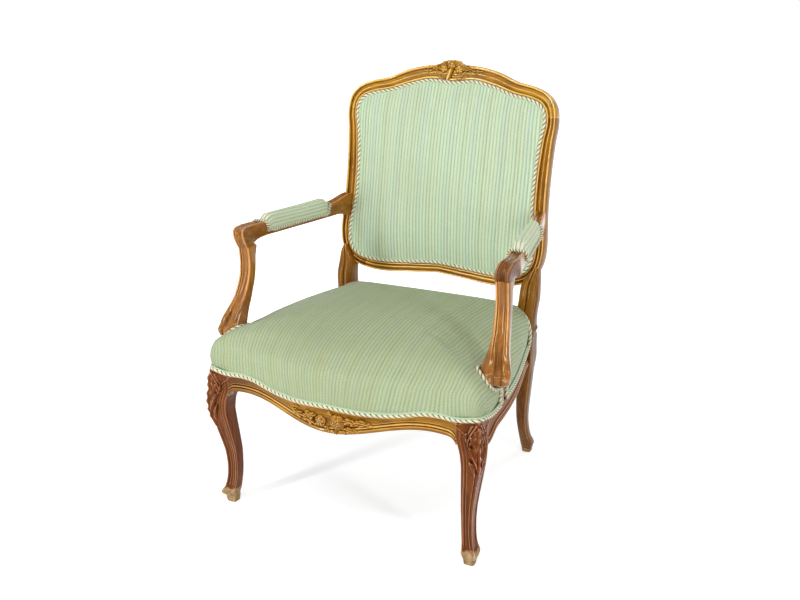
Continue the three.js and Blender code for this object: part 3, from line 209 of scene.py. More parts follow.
def flower(p, q, x, y, size, petals, height, turn=0.0):
    """The relief of a carved open flower: outer and inner petals round a drilled boss."""
    far = np.hypot(p - x, q - y) / size
    way = np.arctan2(q - y, p - x) + turn
    outer = np.abs(np.cos(petals * way / 2))
    inner = np.abs(np.sin(petals * way / 2))
    rim = soft_step(0.05, -0.07, far - 0.8 - 0.2 * outer**0.7)
    relief = rim * (0.25 + 0.55 * outer**0.45 * np.sin(math.pi * np.clip(far, 0, 1) ** 0.7))
    rim = soft_step(0.04, -0.05, far - 0.42 - 0.16 * inner**0.7)
    relief = np.maximum(relief, rim * (0.5 + 0.4 * inner**0.4 * np.sin(math.pi * np.clip(far / 0.6, 0, 1) ** 0.8)))
    boss = bead(far, 0, 0.24) * 1.1 - 0.5 * bell(far, 0, 0.07)
    return height * np.maximum(relief, boss * (far < 0.24))


def front_leg():
    z = np.concatenate([np.arange(0, 190, 1.7), np.arange(190, 330, 1.0), np.arange(330, rail_top - 1, 3)])[:, None]
    way = np.linspace(-math.pi, math.pi, 132, endpoint=False)[None, :]
    share = np.clip(z / shoulder, 0, 1)
    half = through(share, leg_keys, side_keys) * leg_block / math.sqrt(2)
    throw = through(share, leg_keys, throw_keys) * knee_throw
    p = 1.07 + 0.12 * soft_step(40, 0, z) - 0.07 * soft_step(262, 300, z)
    radius = half * (np.abs(np.cos(way)) ** p + np.abs(np.sin(way)) ** p) ** (-1 / p)
    turn = np.degrees(way)
    # Each side is hollowed a little between the arris bead and an edge bead.
    moulded = soft_step(34, 52, z) * soft_step(335, 300, z)
    side = soft_step(96, 84, np.abs(turn))
    radius -= 0.045 * half * bell(np.abs(turn), 40, 20) * moulded
    spread = 46 * soft_step(212, 292, z) ** 1.3 + 44 * soft_step(286, 322, z) ** 2
    strength = soft_step(12, 30, z) * soft_step(346, 316, z)
    width = 7.5 * 14 / (half * 0.9)
    radius += (2.1 * bell(np.abs(turn), spread, width) - 1.5 * bell(np.abs(turn), spread + 2.1 * width, 0.8 * width)) * strength
    radius += (1.4 * bell(np.abs(turn), 76, width) - 1.3 * bell(np.abs(turn), 76 - 1.9 * width, 0.7 * width)) * moulded * side
    # The acanthus leaf hangs on the knee from the trim's line.
    run = radius * way
    up = z + 0 * way
    relief = leaf(run, up, (0, 326), (0, 190), 0, 14.5, 4.5, 6.2) + 1.5 * bell(run, 0, 7) * np.cos(0.32 * (z - 200)) * soft_step(205, 230, z) * soft_step(318, 300, z)
    relief = np.maximum(relief, leaf(run, up, (2, 334), (21, 268), 3, 8, 2.5, 5.0))
    relief = np.maximum(relief, leaf(run, up, (-2, 334), (-21, 268), -3, 8, 2.5, 5.0))
    relief *= soft_step(334, 326, z)
    radius = radius + relief - 1.3 * bell(relief, 0.25, 0.25) * (relief > 0.02)
    # The toe is a small scroll over a bare shoe.
    front = bell(turn, 0, 52)
    radius += (3.4 * bell(z, 27, 7.0) - 1.6 * bell(z, 40, 4) - 1.6 * bell(z, 15, 3) + 1.6 * bell(z, 8, 6)) * front
    radius += 1.2 * bell(z, 30, 6) * bell(np.abs(turn), 90, 18)
    outward = throw + radius * np.cos(way)
    sideways = radius * np.sin(way) + 0 * z
    x = leg_x + (outward + sideways) / math.sqrt(2)
    y = leg_y - (outward - sideways) / math.sqrt(2)
    # Above the shoulder it is the square corner block, cut back above the line of the cover's trim.
    low = trim_height + trim_rise * np.interp(np.abs(turn), [0, 25, 60, 90], [0.95, 0.85, 0.6, 0.3])
    block = leg_block / 2 + 7 * soft_step(low, low - 5, z) - rebate * soft_step(low, low + 1, z)
    x = np.where(z > shoulder - 10, np.minimum(x, leg_x + block), x)
    y = np.where(z > shoulder - 10, np.maximum(y, leg_y - block), y)
    piece = skin("front_leg_left", np.stack([x, y, z + 0 * x], -1))
    mark_hollows(piece, 1)
    return piece


def wood(name, light, middle, dark, grain, gloss=0.26, bare=0.0, deep=None, polish=0.35):
    """Waxed and varnished wood: fibres along the piece, painted shade that darkens and reddens one end of some pieces,
    dark wax with painted shade in the hollows, and rubbed edges lightened with painted highlights.
    """
    made = bpy.data.materials.new(name)
    made.use_nodes = True
    nodes, links = made.node_tree.nodes, made.node_tree.links
    shader = nodes["Principled BSDF"]
    place = nodes.new("ShaderNodeTexCoord")

    def texture(scale, detail, stretch, rough=0.55, warp=0.0):
        mapping = nodes.new("ShaderNodeMapping")
        mapping.inputs["Scale"].default_value = stretch
        links.new(place.outputs["Object"], mapping.inputs["Vector"])
        made_noise = nodes.new("ShaderNodeTexNoise")
        made_noise.inputs["Scale"].default_value = scale
        made_noise.inputs["Detail"].default_value = detail
        made_noise.inputs["Roughness"].default_value = rough
        made_noise.inputs["Distortion"].default_value = warp
        links.new(mapping.outputs["Vector"], made_noise.inputs["Vector"])
        return made_noise.outputs["Fac"]

    def spread(source, low, high, to_low=0.0, to_high=1.0):
        node = nodes.new("ShaderNodeMapRange")
        node.interpolation_type = "SMOOTHSTEP"
        for socket, value in zip(("From Min", "From Max", "To Min", "To Max"), (low, high, to_low, to_high)):
            node.inputs[socket].default_value = value
        links.new(source, node.inputs["Value"])
        return node.outputs["Result"]

    def mixed(share, a, b, way="MIX"):
        node = nodes.new("ShaderNodeMix")
        node.data_type = "RGBA"
        node.blend_type = way
        for socket, value in ((node.inputs[0], share), (node.inputs[6], a), (node.inputs[7], b)):
            if isinstance(value, (int, float)):
                socket.default_value = value
            elif isinstance(value, tuple):
                socket.default_value = (*value, 1)
            else:
                links.new(value, socket)
        return node.outputs[2]

    def product(a, b, way="MULTIPLY"):
        node = nodes.new("ShaderNodeMath")
        node.operation = way
        for socket, value in zip(node.inputs, (a, b)):
            if isinstance(value, (int, float)):
                socket.default_value = value
            else:
                links.new(value, socket)
        return node.outputs[0]

    fibres = texture(90, 6, grain, 0.6, 0.3)
    bands = texture(26, 4, grain, 0.5, 0.8)
    clouds = texture(9, 3, (1, 1, 1), 0.5)
    pores = texture(420, 3, tuple(0.12 if g < 0.5 else 1.0 for g in grain), 0.6)
    colour = mixed(spread(bands, 0.34, 0.66, 0.15, 0.85), middle, light)
    colour = mixed(spread(fibres, 0.62, 0.36, 0.0, 0.5), colour, dark)
    colour = mixed(spread(clouds, 0.5, 0.72, 0.0, 0.35), colour, tuple(0.55 * c + 0.45 * d for c, d in zip(middle, (0.2, 0.035, 0.012))))
    colour = mixed(spread(pores, 0.6, 0.72, 0.0, 0.25), colour, dark)
    mark = nodes.new("ShaderNodeAttribute")
    mark.attribute_name = "hollow"
    # Dark wax and painted shade: the hollows are darkened towards a deep brown, broken up by the wax noise.
    sunk = spread(mark.outputs["Fac"], 0.06, 0.6, 0.0, 0.92)
    proud_edge_highlight = spread(mark.outputs["Fac"], -0.1, -0.6, 0.0, 0.65)
    wax = texture(60, 4, (1, 1, 1), 0.6)
    colour = mixed(product(sunk, spread(wax, 0.2, 0.55, 0.6, 1.0)), colour, tuple(0.22 * c for c in dark))
    # Rubbed edges and painted highlight: proud ridges are lightened towards a paler wood.
    colour = mixed(proud_edge_highlight, colour, tuple(min(1.0, 1.5 * c + 0.04) for c in light))
    # Rubbed edges and painted highlight: the sharpest ridges are lightened further, almost to straw.
    rubbed_edge_highlight = product(spread(mark.outputs["Fac"], -0.14, -0.4, 0.0, 0.75), spread(wax, 0.25, 0.6, 0.45, 1.0))
    colour = mixed(rubbed_edge_highlight, colour, tuple(min(1.0, 1.8 * c + 0.1) for c in light))
    roughness = product(spread(fibres, 0.3, 0.7, gloss, gloss + 0.16), product(sunk, 0.3), "ADD")
    split = nodes.new("ShaderNodeSeparateXYZ")
    links.new(place.outputs["Object"], split.inputs["Vector"])
    # Painted shade: where asked, the piece is multiplied darker and redder towards one end along an axis.
    if deep:
        colour = mixed(spread(split.outputs[deep[0]], deep[1], deep[2], 0.85, 0.0), colour, (0.42, 0.3, 0.22), "MULTIPLY")
    if bare:
        edge = product(split.outputs["Z"], product(spread(wax, 0.3, 0.7), 0.006, "MULTIPLY"), "SUBTRACT")
        worn = spread(edge, bare, bare - 0.003)
        raw = mixed(spread(fibres, 0.35, 0.65), (0.32, 0.19, 0.08), (0.5, 0.34, 0.17))
        raw = mixed(spread(wax, 0.4, 0.7, 0.0, 0.75), raw, (0.16, 0.08, 0.03))
        colour = mixed(worn, colour, raw)
        roughness = product(roughness, product(worn, 0.4), "ADD")
    links.new(colour, shader.inputs["Base Color"])
    links.new(roughness, shader.inputs["Roughness"])
    shader.inputs["IOR"].default_value = 1.3
    shader.inputs["Specular IOR Level"].default_value = 0.2 + 0.4 * polish
    shader.inputs["Specular Tint"].default_value = (1, 0.7, 0.4, 1)
    links.new(spread(mark.outputs["Fac"], -0.05, -0.35, polish, min(polish * 4, 1.0)), shader.inputs["Coat Weight"])
    shader.inputs["Coat Roughness"].default_value = 0.07
    shader.inputs["Coat IOR"].default_value = 1.3 + 0.2 * min(polish, 1)
    bump = nodes.new("ShaderNodeBump")
    bump.inputs["Strength"].default_value = 0.07
    bump.inputs["Distance"].default_value = 0.0006
    links.new(product(fibres, product(pores, 0.6), "ADD"), bump.inputs["Height"])
    links.new(bump.outputs["Normal"], shader.inputs["Normal"])
    return made


upright, sideways, lengthways = (1, 1, 0.09), (0.09, 1, 1), (1, 0.09, 1)
leg_light, leg_middle, leg_dark = (0.21, 0.055, 0.004), (0.13, 0.03, 0.003), (0.036, 0.008, 0.002)
leg_wood = wood("leg_wood", leg_light, leg_middle, leg_dark, upright, 0.18, bare=0.034, polish=0.2)

left_leg = front_leg()
right_leg = across(left_leg, "front_leg_right")
finished(left_leg, leg_wood, "leg_wood", "front_leg_left")
finished(right_leg, leg_wood, "leg_wood", "front_leg_right")
left_leg.name, right_leg.name = "carved_leg_left", "carved_leg_right"


# Front rail: bowed beech between the front legs, tenoned into them, its lower edge scalloped and beaded.
# The middle is carved in the wood with two flowers, leaves and a pendant.

leg_inner = leg_x - leg_block / 2
leg_face = leg_y - leg_block / 2
rail_low = rail_top - 67
front_keys = [0, 0.15, 0.3, 0.45, 0.6, 0.75, 0.88, 1]
front_rises = [0, -0.15, -0.25, -0.2, 0.05, 0.5, 0.55, 0.35]


def front_face(x, share=1.0):
    return leg_face - share * 38 * np.cos(np.minimum(np.abs(x) / (leg_inner * 0.94), 1) * math.pi / 2) ** 2


def front_low(x):
    bracket = np.clip((np.abs(x) - leg_inner + 17) / 17, 0, 0.999)
    scallop = 33 * np.sin(np.minimum(np.abs(x) / (leg_inner * 0.79), 1.35) * math.pi / 2) ** 2
    return rail_low - 19 + scallop - 13 * (1 - np.sqrt(1 - bracket**2))


def front_trim(x):
    return trim_height + trim_rise * through(np.abs(x) / leg_inner, front_keys, front_rises)


def rail_mouldings(up, high):
    """What stands out from a rail's face: an edge bead, a quirk, a fine bead and a slightly hollow field."""
    field = 1.5 * soft_step(14, 20, up) * soft_step(high, high - 8, up)
    return 3.2 * bead(up, 4.6, 4.6) - 2.0 * bell(up, 9.8, 1.1) + 1.8 * bead(up, 12.8, 2.2) - 1.4 * bell(up, 16.2, 1.1) - field


def rail_skin(name, line, low, top, face, inner, relief, place):
    """Wraps a rail's section along its line: moulded face, rebate under the cover, plain inside."""
    high = top - low
    share = np.linspace(0, 1, 46)[None, :]
    up = share * high[:, None]
    out = relief(line[:, None] + 0 * up, low[:, None] + up, up, high[:, None])
    face_part = np.stack([face[:, None] + out, low[:, None] + up], -1)
    web = np.maximum(rail_low + 19, low + 0.2)
    corners = [
        (face - rebate, top), (face - rebate, 0 * top + rail_top - 0.6), ((face - rebate + inner) / 2, 0 * top + rail_top - 0.6),
        (inner, 0 * top + rail_top - 0.6), (inner, (web + rail_top) / 2), (inner, web), (face - 19, web), (face - 17.5, low + 2),
        (face - 16, low), (face - 8, low),
    ]
    back_part = np.stack([np.stack(corner, -1) for corner in corners], 1)
    section = np.concatenate([face_part, back_part], 1)
    return skin(name, place(line[:, None] + 0 * section[..., 0], section[..., 0], section[..., 1]))


def front_relief(x, z, up, high):
    carved = flower(x, z, 26, 292, 18, 5, 8.5, 0.3)
    carved = np.maximum(carved, flower(x, z, -14, 289, 14, 5, 7.5, 1.0))
    carved = np.maximum(carved, flower(x, z, -42, 294, 8, 5, 5.5, 0.4))
    for foot, tip, bow, half, lobes, height in (
        ((40, 300), (68, 292), 3, 7, 2, 6.5), ((44, 284), (72, 279), -3, 6, 2, 5.5), ((62, 297), (104, 291), 4, 6.5, 3, 5),
        ((98, 300), (74, 300), 3, 3.5, 1, 4), ((-24, 300), (-56, 304), 4, 6.5, 2, 5.5), ((-28, 281), (-62, 287), -3, 6.5, 2, 5.5),
        ((-46, 292), (-94, 300), 3, 6.5, 3, 4.5), ((-88, 304), (-70, 306), 2, 3.5, 1, 3.5), ((25, 280), (24, 263), 0, 6.5, 1, 6),
        ((6, 280), (0, 266), 1, 5.5, 1, 5), ((14, 306), (2, 314), -1, 4.5, 1, 5), ((38, 277), (50, 268), 1, 5, 1, 4.5),
    ):
        carved = np.maximum(carved, leaf(x, z, foot, tip, bow, half, lobes, height))
    carved *= 1.35 * soft_step(0, 3, high - up)
    near = np.clip(carved / 3, 0, 1)
    return rail_mouldings(up, high) * (1 - near) + carved - 1.0 * bell(carved, 0.3, 0.3) * (carved > 0.03)


line = np.linspace(-leg_inner - 1.5, leg_inner + 1.5, 440)
front_rail = rail_skin("carved_front_rail", line, front_low(line), front_trim(line), -front_face(line),
                       -front_face(line, 0.4) - 30, front_relief, lambda x, out, z: np.stack([x, -out, z], -1))
mark_hollows(front_rail, 1)
rail_light, rail_middle, rail_dark = (0.43, 0.215, 0.014), (0.28, 0.11, 0.005), (0.09, 0.026, 0.003)
# The rail's end at -x is darkened with painted shade.
rail_wood = wood("rail_wood", rail_light, rail_middle, rail_dark, sideways, 0.18, deep=("X", -0.3, -0.12))
finished(front_rail, rail_wood, "frame_wood", "front_rail")


# Side rails: bowed beech from the front legs, swept in to the rear posts, with the front rail's mouldings.
# Each is tenoned at both ends.

leg_outer = leg_x + leg_block / 2
leg_rear = leg_y + leg_block / 2
post_x, post_y, post_wide, post_deep = 252, 218, 32, 45
post_inner, post_outer = post_x - post_wide / 2, post_x + post_wide / 2
post_front, post_back = post_y - post_deep / 2, post_y + post_deep / 2
rear_face = post_back - 7


def side_share(y):
    return np.clip((y - leg_rear) / (post_front - leg_rear), 0, 1)


def side_face(y):
    sweep = 8 * soft_step(0.3, 1, side_share(y))
    return leg_outer + (post_outer - leg_outer) * side_share(y) + 10 * np.sin(math.pi * side_share(y)) - sweep


def side_relief(y, z, up, high):
    return rail_mouldings(up, high)


line = np.linspace(leg_rear, post_front, 170)
share = side_share(line)
low = rail_low - 14 * (1 - soft_step(0, 0.14, share)) - 7 * soft_step(0.86, 1, share)
top = trim_height + trim_rise * 0.25 * soft_step(0.09, 0, share)
side_rail = rail_skin("moulded_side_rail_left", line, low, top, side_face(line), side_face(line) - 10 * np.sin(math.pi * share) - 30,
                      side_relief, lambda y, out, z: np.stack([out, y, z], -1))
mark_hollows(side_rail, 1)
side_wood = wood("side_rail_wood", (0.27, 0.09, 0.008), (0.18, 0.05, 0.004), (0.06, 0.015, 0.002), lengthways, 0.3, polish=0.08)
finished(across(side_rail, "moulded_side_rail_right"), side_wood, "frame_wood", "side_rail_right")
finished(side_rail, side_wood, "frame_wood", "side_rail_left")


# Rear rail and corner blocks: plain beech, tenoned between the rear posts, with blocks glued and screwed in the corners.
# They are never polished, so they show dry wood and a little grime.

raw_wood = wood("dry_wood", (0.62, 0.43, 0.24), (0.5, 0.32, 0.16), (0.24, 0.13, 0.06), sideways, 0.62, polish=0.0)

bpy.ops.object.select_all(action="DESELECT")
bpy.ops.mesh.primitive_cube_add(size=1, location=(0, (rear_face - 13 + middle_shift) / 1000, (rail_low + 19 + rail_top) / 2000),
                                scale=(2 * (post_inner - 0.3) / 1000, 0.026, 0.048))
rear_rail = bpy.context.object
rear_rail.name = rear_rail.data.name = "sawn_rear_rail"
bpy.ops.object.transform_apply(location=True, rotation=True, scale=True)
bpy.ops.object.mode_set(mode="EDIT")
bpy.ops.mesh.subdivide(number_cuts=3)
bpy.ops.object.mode_set(mode="OBJECT")
for corner in rear_rail.data.vertices:
    if corner.co.y > (rear_face - 1 + middle_shift) / 1000 and corner.co.z > 0.33:
        corner.co.y -= rebate / 1000
rounding = rear_rail.modifiers.new("arris", "BEVEL")
rounding.width, rounding.segments = 0.0012, 2
bpy.ops.object.modifier_apply(modifier="arris")
finished(rear_rail, raw_wood, "raw_wood", "rear_rail")


def carried(node, look):
    """A frame solid whose shape is right keeps its place and gets its finish."""
    part = bpy.data.objects[node]
    if not part.material_slots:
        part.data.materials.append(look)
    for place in part.material_slots:
        place.material = look


for side in ("left", "right"):
    carried("front_corner_block_" + side, raw_wood)
    carried("rear_corner_block_" + side, raw_wood)


# Rear posts: each is sawn from one plank as swept rear leg, console over the seat and stile of the back.
# The console carries two round mouldings, and the back frame's moulding runs down the stile into it.

back_half, back_low, back_rise, back_plane, back_hollow, back_rake = 263, 474, 472, 226, 18, 0.176
frame_half, frame_deep = 14, 34
frame_shares = np.array([
    (0, 1, 1.35), (0.228, 1.003, 1.14), (0.426, 0.981, 1.14), (0.624, 0.943, 1), (0.806, 0.922, 0.96),
    (0.913, 0.898, 0.92), (0.977, 0.856, 0.86), (1, 0.786, 0.78), (0.981, 0.691, 0.89), (0.966, 0.53, 1),
    (0.97, 0.352, 1), (0.992, 0.24, 0.82), (0.998, 0.148, 0.72), (0.977, 0.085, 0.7), (0.928, 0.036, 0.7),
    (0.844, 0.004, 0.72), (0.703, -0.017, 0.76), (0.532, -0.022, 0.79), (0.323, -0.014, 0.77), (0, 0, 0.74),
])


def smooth_line(points, closed, step):
    """A smooth line through points, walked in even steps; knots are spaced by the root of their distance."""
    points = np.asarray(points, float)
    if closed:
        ring = np.vstack([points[-1:], points, points[:2]])
    else:
        ring = np.vstack([2 * points[0] - points[1], points, 2 * points[-1] - points[-2]])
    walked = []
    for a, b, c, d in zip(ring, ring[1:], ring[2:], ring[3:]):
        gaps = [max(np.linalg.norm(q - p) ** 0.5, 1e-4) for p, q in ((a, b), (b, c), (c, d))]
        one = ((b - a) / gaps[0] - (c - a) / (gaps[0] + gaps[1]) + (c - b) / gaps[1]) * gaps[1]
        two = ((c - b) / gaps[1] - (d - b) / (gaps[1] + gaps[2]) + (d - c) / gaps[2]) * gaps[1]
        t = np.linspace(0, 1, 60, endpoint=False)[:, None]
        walked.append((2 * t**3 - 3 * t**2 + 1) * b + (t**3 - 2 * t**2 + t) * one + (3 * t**2 - 2 * t**3) * c + (t**3 - t**2) * two)
    walked = np.vstack(walked + [points[:1] if closed else points[-1:]])
    far = np.concatenate([[0], np.cumsum(np.linalg.norm(np.diff(walked, axis=0), axis=1))])
    count = max(int(round(far[-1] / step)), 2)
    at = np.linspace(0, far[-1], count, endpoint=not closed)
    return np.stack([np.interp(at, far, column) for column in walked.T], 1)


def back_at(x, z):
    return back_plane + back_rake * (z - back_low) + back_hollow * (1 - (x / back_half) ** 2)


def back_front(x):
    way = np.stack([-2 * back_hollow * x / back_half**2, -1 + 0 * x, back_rake + 0 * x], -1)
    return way / np.linalg.norm(way, axis=-1, keepdims=True)


def frame_frames(flat):
    """Places of the back frame's middle line: where it is, its way outward, its front and its half width."""
    x, z, half = flat.T
    middle = np.stack([x, back_at(x, z), z], 1)
    front = back_front(x)
    way = np.roll(middle, -1, 0) - np.roll(middle, 1, 0)
    way[0], way[-1] = middle[1] - middle[0], middle[-1] - middle[-2]
    way -= (way * front).sum(1, keepdims=True) * front
    way /= np.linalg.norm(way, axis=1, keepdims=True)
    out = np.cross(way, front)
    centre = out[:, 0] * x + out[:, 2] * (z - back_low - back_rise / 2)
    out[centre < 0] *= -1
    return middle, out, front, half


right_half = smooth_line(frame_shares * (back_half, back_rise, frame_half) + (0, back_low, 0), False, 1.3)
face_shares = np.concatenate([np.linspace(-1, -0.6, 12), np.linspace(-0.55, 0.5, 14), np.linspace(0.54, 1.04, 15)])
section_back = [(1.04, 0, 8), (1.02, 0, 14), (0.92, 0, 21), (0.8, 0, 28), (0.6, 0, 34), (0, 0, 34.6), (-0.7, 0, 34), (-0.95, 0, 31),
                (-1, 0, 28), (-1, -8, 28), (-1, -8, 9), (-1, 0, 9)]


def frame_depth(share):
    """How deep the frame's face lies at a share of its half width: bead, quirk, swelling, quirk, wider bead."""
    base = through(share, [-1, -0.66, -0.58, -0.1, 0.48, 0.56, 1, 1.04], [3, 3, 5, 2.2, 5, 3, 3, 6])
    return base - 4 * bead(share, -0.83, 0.17) - 4 * bead(share, 0.79, 0.22) + 0.9 * bell(share, -0.62, 0.035) + 0.9 * bell(share, 0.54, 0.04)


def frame_skin(name, flat, grow=None, relief=None):
    middle, out, front, half = frame_frames(flat)
    share = np.concatenate([face_shares, [s for s, _, _ in section_back]])[None, :]
    extra = np.concatenate([0 * face_shares, [e for _, e, _ in section_back]])[None, :]
    depth = np.concatenate([frame_depth(face_shares), [d for _, _, d in section_back]])[None, :] + 0 * half[:, None]
    reach = share * half[:, None] + extra
    if grow is not None:
        reach = reach + grow(flat[:, :1]) * np.clip((share - 0.2) / 0.8, 0, 1)
    if relief is not None:
        faces = len(face_shares)
        depth[:, :faces] = relief(flat[:, :1] + 0 * reach[:, :faces], reach[:, :faces], depth[:, :faces])
    spots = middle[:, None] + out[:, None] * reach[..., None] - front[:, None] * depth[..., None]
    return skin(name, spots)


crest_joint = back_low + 0.81 * back_rise
lower_joint = 0.76 * back_half
crest_cut = int(np.argmax((right_half[:, 0] > back_half / 2) & (right_half[:, 1] < crest_joint)))
lower_cut = int(np.argmax((right_half[:, 1] < back_low + back_rise / 4) & (right_half[:, 0] < lower_joint)))

post_keys = [0, 0.034, 0.07, 0.103, 0.145, 0.214, 0.3, 0.4, 0.514, 0.643, 0.786, 0.857, 1]
tuck_keys = [0.95, 0.95, 0.92, 0.94, 0.97, 1, 0.97, 0.85, 0.62, 0.35, 0.1, 0, 0]
sweep_keys = [1.02, 1.03, 1.0, 0.91, 0.78, 0.62, 0.46, 0.33, 0.205, 0.11, 0.04, 0, 0]
wide_keys = [0.7, 0.86, 1.0, 0.96, 0.88, 0.85, 0.87, 0.93, 1.0, 1.02, 1.03, 1, 1]
deep_keys = [0.5, 0.62, 0.78, 0.74, 0.65, 0.62, 0.66, 0.75, 0.84, 0.9, 0.96, 1, 1]
console = np.array([(0, 0, 0, 1, 0), (0.08, 0, 0, 1, 0), (0.22, 0.25, 0.08, 0.92, 0.4), (0.38, 0.65, 0.17, 0.88, 0.9),
                    (0.56, 1, 0.34, 0.86, 1), (0.74, 0.95, 0.6, 0.78, 0.3), (0.9, 0.9, 0.86, 0.6, -0.9), (1, 0.9, 1, 0.36, -1.8)])

leg_z = np.concatenate([np.arange(0, 60, 1.5), np.arange(60, 350, 2.2)])
high_z = np.arange(350, 512.1, 1.8)
low_share, high_share = leg_z / rail_top, (high_z - rail_top) / 162
x = np.concatenate([post_x - through(low_share, post_keys, tuck_keys) * 20, post_x + through(high_share, console[:, 0], console[:, 1]) * 8])
y = np.concatenate([post_y + through(low_share, post_keys, sweep_keys) * 73, post_y + through(high_share, console[:, 0], console[:, 2]) * 26])
half_x = np.concatenate([through(low_share, post_keys, wide_keys), through(high_share, console[:, 0], console[:, 3])]) * post_wide / 2
swell = np.concatenate([0 * leg_z, 9.5 * soft_step(0.1, 0.4, high_share) * soft_step(1.02, 0.7, high_share)])
half_x, x = half_x + swell, x - 1.1 * swell
half_y = np.concatenate([through(low_share, post_keys, deep_keys) * post_deep / 2,
                         post_deep / 2 + through(high_share, console[:, 0], console[:, 4]) * 4])
z = np.concatenate([leg_z, high_z])
way = np.linspace(-math.pi, math.pi, 96, endpoint=False)[None, :]
square = (3.2 + 5 * soft_step(250, 300, z) * soft_step(352, 345, z) - 0.5 * soft_step(372, 400, z))[:, None]
radius = (np.abs(np.cos(way) / half_x[:, None]) ** square + np.abs(np.sin(way) / half_y[:, None]) ** square) ** (-1 / square)
turn = np.degrees(way)
rolls = (soft_step(352, 372, z) * soft_step(512, 495, z))[:, None]
radius += rolls * (2.6 * bead(turn, -117, 27) + 2.6 * bead(turn, -64, 26) - 3.4 * bell(turn, -90.5, 5) - 1.8 * bell(turn, -36, 5))
edges = (soft_step(30, 60, z) * soft_step(330, 290, z))[:, None]
radius += edges * (0.8 * bell(turn, -52, 6) - 0.7 * bell(turn, -40, 5) + 0.8 * bell(turn, 52, 6) - 0.7 * bell(turn, 40, 5))
radius += 4 * bell(z[:, None], 364, 6) * bell(turn, 27, 30)
spots = np.stack([x[:, None] + radius * np.cos(way), y[:, None] + radius * np.sin(way), z[:, None] + 0 * way], -1)
console_part = skin("console", spots)
stile_part = frame_skin("stile", right_half[crest_cut:lower_cut + 1])
rear_post = joined([console_part, stile_part], "moulded_post_left")
mark_hollows(rear_post, 1)
post_light, post_middle, post_dark = (0.46, 0.23, 0.016), (0.31, 0.12, 0.006), (0.1, 0.028, 0.003)
# The posts are darkened with painted shade low down, under the seat, fading out up the console and lower stile.
post_wood = wood("post_wood", post_light, post_middle, post_dark, upright, 0.18, bare=0.008, deep=("Z", 0.34, 0.62), polish=0.25)
finished(across(rear_post, "moulded_post_right"), post_wood, "frame_wood", "rear_post_right")
finished(rear_post, post_wood, "frame_wood", "rear_post_left")


# Crest rail: the bowed and carved top of the back frame, joined to the stiles by hidden tenons.
# Flowers and leaves stand out in the middle and rise a little over its top edge.

def crest_grow(x):
    knobs = 0.9 * np.cos(x / 2.3) + 0.8 * np.cos(x / 1.4 + 1)
    return (11.5 + knobs) * soft_step(-48, -18, x) * soft_step(36, 8, x)


def crest_relief(x, reach, depth):
    carved = flower(x, reach, -26, 9, 10, 5, 6, 0.4)
    carved = np.maximum(carved, flower(x, reach, 16, 8, 11, 5, 6.5, 1.1))
    carved = np.maximum(carved, flower(x, reach, -3, 18, 9, 5, 7.5, 0.2))
    for foot, tip, bow, half, lobes, height in (
        ((22, 8), (52, 5), 2, 5.5, 3, 5), ((30, 14), (46, 16), 2, 3.5, 1, 4), ((50, 4), (78, 9), -3, 4.5, 3, 3.8),
        ((-32, 8), (-58, 5), -2, 5.5, 3, 5), ((-34, 15), (-48, 15), -2, 3.5, 1, 4), ((-54, 4), (-82, 8), 3, 4.5, 3, 3.8),
        ((4, -12), (40, -6), -4, 4, 2, 3.6), ((-12, -12), (-44, -6), 4, 4, 2, 3.6), ((-16, 18), (-22, 26), 0, 4, 1, 4.5),
        ((3, 17), (8, 27), 0, 4, 1, 4.5),
    ):
        carved = np.maximum(carved, leaf(x, reach, foot, tip, bow, half, lobes, height))
    rugged = np.abs(np.sin(x / 3.1 + 0.4 * np.sin(reach / 4)) * np.sin(reach / 2.9 + 0.5 * np.sin(x / 5))) ** 0.8
    carved = 1.4 * carved + 2.2 * rugged * bell(x, -4, 30) * soft_step(-9, 0, reach)
    carved = np.maximum(carved, 11 * bead(x + 7 - 0.3 * reach, 0, 5 * np.clip(1 - ((reach + 4) / 17) ** 4, 0.05, 1)) * (np.abs(reach + 4) < 16.9))
    near = np.clip(carved / 2.5, 0, 1)
    return depth * (1 - near) + 3.4 * near - carved * near + 0.9 * bell(carved, 0.3, 0.3) * (carved > 0.03)


face_shares = np.linspace(-1, 1.04, 62)
right_part = right_half[:crest_cut + 1]
crest_line = np.vstack([right_part[:0:-1] * (-1, 1, 1), right_part])
crest = frame_skin("carved_crest_rail", crest_line, crest_grow, crest_relief)
mark_hollows(crest, 1)
crest_light, crest_middle, crest_dark = (0.55, 0.29, 0.026), (0.37, 0.16, 0.008), (0.12, 0.036, 0.004)
crest_wood = wood("crest_wood", crest_light, crest_middle, crest_dark, sideways, 0.18, polish=0.45)
finished(crest, crest_wood, "frame_wood", "crest_rail")

# Lower back rail: the frame's bottom, over the gap behind the seat, tenoned into the stiles.
# It has the same moulding, worn smooth.

face_shares = np.concatenate([np.linspace(-1, -0.6, 12), np.linspace(-0.55, 0.5, 14), np.linspace(0.54, 1.04, 15)])
right_part = right_half[lower_cut:]
lower_line = np.vstack([right_part, (right_part * (-1, 1, 1))[-2::-1]])
lower_rail = frame_skin("moulded_lower_rail", lower_line)
mark_hollows(lower_rail, 1)
finished(lower_rail, crest_wood, "frame_wood", "back_lower_rail")


# Arms: moulded beech, tenoned into the stiles and sunk where the pad is laid.
# In front they turn over an angular knuckle, and the moulding runs on down the support.

under, arm_top, arm_half, knuckle_under = 598, 629, 18, 586
arm_front_x, arm_front_y, pad_front, pad_back = 328, -118, -58, 168
pad_sink, bed_share, lip = 9, 0.76, 7
stile = right_half[(right_half[:, 0] > back_half / 2) & (right_half[:, 1] > 622)][-1]
arm_rear_z, arm_rear_x = stile[1], stile[0] + 2
arm_end_y = back_at(stile[0], stile[1]) + 2
pivot_y, pivot_z = -98, 584
support_x, support_top = 314, knuckle_under - 0.3


def arm_line(y):
    return arm_rear_x + (arm_front_x - arm_rear_x) * (arm_end_y - y) / (arm_end_y - arm_front_y)


